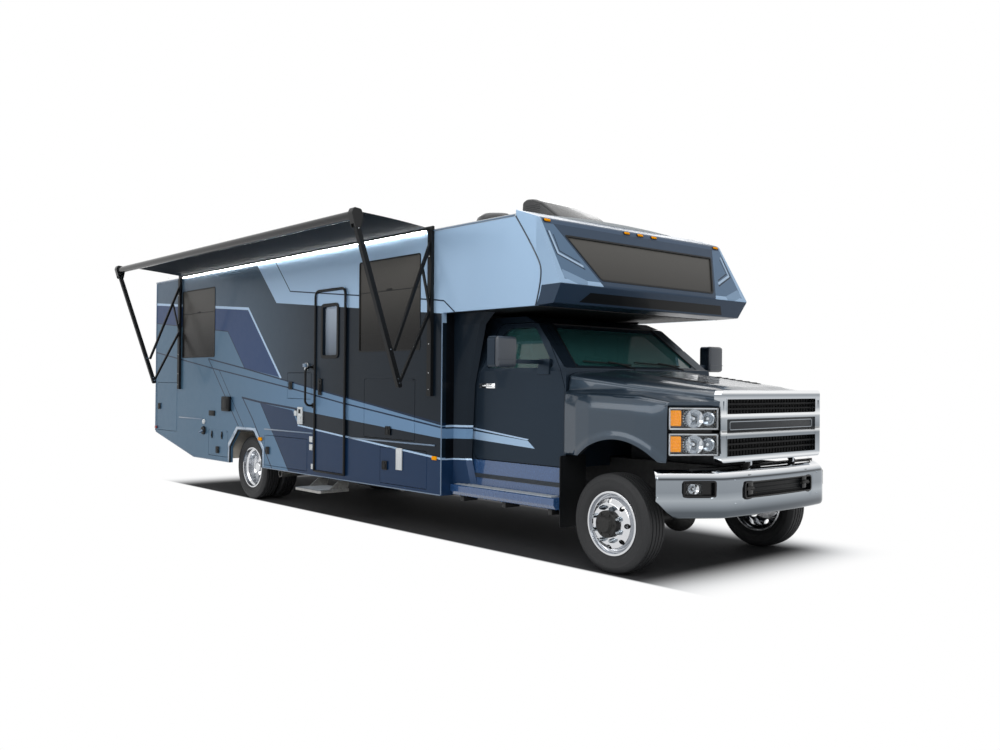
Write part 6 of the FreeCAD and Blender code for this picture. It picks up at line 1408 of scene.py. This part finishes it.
def buildCapParts():
    amber, feet, line, rim = (bmesh.new() for _ in range(4))
    mesh = nodes["overcab_cap"].data
    surface = BVHTree.FromPolygons([vert.co for vert in mesh.vertices], [face.vertices for face in mesh.polygons])
    across = Vector((1, 0, 0))
    for x in cap["markers"]:
        # each lamp sits where a line straight back meets the cap, square to its face
        hit, normal, _, _ = surface.ray_cast(at(x, -3.0, cap["markerHeight"]), Vector((0, 1, 0)))
        turn = Matrix((across, normal.cross(across).normalized(), normal)).transposed().to_4x4()
        for bm, out, size, rounding, segments in ((feet, 0, (0.088, 0.030, 0.010), 0.004, 2),
                                                  (amber, 0.008, (0.068, 0.022, 0.016), 0.006, 3)):
            place = Matrix.Translation(hit + normal * out) @ turn
            made = bmesh.ops.create_cube(bm, size=1, matrix=place)["verts"]
            bmesh.ops.scale(bm, vec=size, verts=made, space=place.inverted())
            roundEdges(bm, made, rounding, segments)
    for side in (1, -1):
        tube(line, [(side * (coachHalf + 0.001), y, z) for y, z in cap["seam"]], 0.007, 3)
    (low, start), (high, end) = cap["slope"]
    corners = [(x, readLine(cap["slope"], z) - 0.003, z) for x, z in cap["window"]]
    hoop(rim, corners, 0.018, Vector((0, high - low, start - end)).normalized() * 0.010, 0.03)
    finishPiece("markerLamps", amber, "amberLens", "coach")
    finishPiece("markerFeet", feet, "trimBlack", "coach")
    finishPiece("capSeams", line, "capSeam", "coach")
    finishPiece("capWindowTrim", rim, "trimBlack", "coach")


roofGear = {
    "unitHalf": 0.356, "unitRounding": 0.034, "domePlace": 2.720, "domeSteps": 56, "domeBolts": 10, "boltCircle": 0.241,
    # the air conditioner's outline from the side, and half the dome's: each height is above the roof
    "unit": ((1.352, 0.001), (1.372, 0.072), (1.520, 0.180), (1.640, 0.262), (1.760, 0.306), (1.860, 0.316),
             (1.900, 0.300), (1.925, 0.001)),
    "dome": ((0.249, 0.0), (0.249, 0.012), (0.238, 0.020), (0.232, 0.060), (0.245, 0.075), (0.247, 0.185),
             (0.240, 0.205), (0.218, 0.262), (0.180, 0.300), (0.100, 0.316), (0.0, 0.3185)),
}


def buildRoofGear():
    unit, dome = bmesh.new(), bmesh.new()
    roof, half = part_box("roof_units")[0].z, roofGear["unitHalf"]
    plate(unit, [(-half, y, roof + z) for y, z in roofGear["unit"]], (2 * half, 0, 0))
    bmesh.ops.recalc_face_normals(unit, faces=unit.faces)
    sharp = [edge for edge in unit.edges if edge.is_manifold and edge.calc_face_angle(0) > 0.15
             and min(vert.co.z for vert in edge.verts) > roof + 0.01]
    bmesh.ops.bevel(unit, geom=sharp, offset=roofGear["unitRounding"], segments=5, profile=0.5, affect="EDGES", material=-1)
    for side in (1, -1):
        for number in range(8):
            z = roof + 0.080 + number * 0.022
            block(unit, (side * 0.3515, 1.66, z), (side * 0.3590, 1.86, z + 0.010), 0.002, 1)
    for number in range(9):
        z = roof + 0.055 + number * 0.024
        block(unit, (-0.27, 1.900, z), (0.27, 1.9265, z + 0.011), 0.003, 1)
    finishPiece("airUnit", unit, "unitShroud", "coach", ("roof_units",), 40)
    lathe(dome, roofGear["dome"], (0, roofGear["domePlace"], roof), roofGear["domeSteps"], (0, 0, 1))
    for x, y in onCircle(0, roofGear["domePlace"], roofGear["boltCircle"], roofGear["domeBolts"]):
        rod(dome, (x, y, roof + 0.008), (x, y, roof + 0.018), 0.006, 0.005, 8)
    finishPiece("ventDome", dome, "unitShroud", "coach", angle=40)


# Awning

awning = {
    "start": 2.235, "end": 8.177, "rail": (-1.3095, 3.028), "roller": (-2.148, 3.093), "sag": 0.028,
    "rows": 90, "columns": 22, "slack": 1.001, "light": (2.26, 8.10), "arms": (2.190, 8.222),
    "wallRivets": (1.46, 1.62, 1.90, 2.35, 2.75),
    "armRivets": ((-1.307, 2.95), (-1.307, 2.23), (-1.672, 1.52), (-1.688, 1.56), (-1.777, 1.835), (-2.142, 2.93)),
}


def buildAwning():
    bm, glow, rivets = (bmesh.new() for _ in range(3))
    bmesh.ops.create_grid(bm, x_segments=awning["columns"], y_segments=awning["rows"], size=0.5)
    (x0, z0), (x1, z1) = awning["rail"], awning["roller"]
    reach = awning["end"] - awning["start"]
    for vert in bm.verts:
        across, along = vert.co.x + 0.5, vert.co.y + 0.5
        sag = awning["sag"] * across * (1 - across)
        pucker = 0.0022 * math.sin(along * 172) * math.exp(-across * 9) + 0.0012 * math.sin(along * 61 + across * 3)
        z = z0 + (z1 - z0) * across + sag + pucker + 0.003
        vert.co = at(x0 + (x1 - x0) * across, awning["start"] + along * reach, z)
    uv = bm.loops.layers.uv.new("Cloth")
    for face in bm.faces:
        for loop in face.loops:
            loop[uv].uv = (loop.vert.co.x, loop.vert.co.y)
    cloth = finishPiece("awningCloth", bm, "awningCloth", "coach", ("awning_fabric",), 180)
    wallBlock(glow, -1, (0.024, 0.030), awning["light"], (2.9950, 3.0080), 0.001, 1)
    finishPiece("awningLight", glow, "lampGlow", "coach")
    for y in awning["arms"]:
        for x, z in awning["armRivets"]:
            for side in (1, -1):
                rod(rivets, (x, y + side * 0.010, z), (x, y + side * 0.0275, z), 0.010, 0.007, 12)
        for z in awning["wallRivets"]:
            wallRod(rivets, -1, (0.032, 0.0375), y, z, 0.006, 0.004, 10)
    finishPiece("awningRivets", rivets, "chrome", "coach")


# Running boards, entry step and rear

def buildBoards():
    tread, strip, steel, step = (bmesh.new() for _ in range(4))
    for side in (1, -1):
        block(tread, (side * 1.055, 0.64, 0.5535), (side * 1.165, 1.96, 0.5595), 0.002)
        for number in range(6):
            x = 1.066 + number * 0.0175
            block(tread, (side * x, 0.65, 0.559), (side * (x + 0.007), 1.95, 0.563), 0.0015, 1)
        plate(strip, [(side * 1.0295, 0.66, 0.630), (side * 1.0295, 1.94, 0.630),
                      (side * 1.0270, 1.94, 0.668), (side * 1.0270, 0.66, 0.668)], (side * 0.003, 0, 0))
        for y in (0.70, 1.30, 1.90):
            block(steel, (side * 0.94, y - 0.025, 0.395), (side * 1.12, y + 0.025, 0.452), 0.006)
    near, far, count = -(coachHalf - 0.09), -(coachHalf + 0.275), 9
    for number in range(count):
        x = near + (far - near) * (number + 0.5) / count
        block(step, (x - 0.006, 3.82, 0.3455), (x + 0.006, 4.28, 0.3495), 0.0015, 1)
    finishPiece("boardTread", tread, "treadGrey", "coach")
    finishPiece("boardStrip", strip, "punchedStrip", "coach")
    finishPiece("boardBrackets", steel, "frameBlack", "coach")
    finishPiece("stepRibs", step, "treadGrey", "coach")


rear = {"face": 9.131, "lampFace": 9.1565, "lampIn": 1.063, "lampOut": 1.223, "markers": (-0.22, 0.0, 0.22, -1.18, 1.18)}


def buildRear():
    bezel, clear, red = (bmesh.new() for _ in range(3))
    y, face, near, far = rear["lampFace"], rear["face"], rear["lampIn"], rear["lampOut"]
    for side in (1, -1):
        hoop(bezel, facing(y, side * near, side * far, 1.010, 1.330), 0.012, (0, -0.012, 0), 0.02)
        block(clear, (side * (near + 0.018), y - 0.004, 1.030), (side * (far - 0.018), y + 0.004, 1.095), 0.004)
        for z in (1.115, 1.215):
            block(bezel, (side * (near + 0.010), y - 0.003, z), (side * (far - 0.010), y + 0.003, z + 0.006), 0.001, 1)
    block(bezel, (-0.19, face, 1.00), (0.19, face + 0.006, 1.12), 0.002)
    for x in rear["markers"]:
        block(red, (x - 0.045, face, 2.92), (x + 0.045, face + 0.019, 2.945), 0.006, 3)
    finishPiece("tailBezels", bezel, "trimBlack", "coach")
    finishPiece("reverseLamps", clear, "lampWhite", "coach")
    finishPiece("rearMarkers", red, "redLens", "coach")


buildCapParts()
buildRoofGear()
buildAwning()
buildBoards()
buildRear()
print("scene: cap, roof, awning and rear")
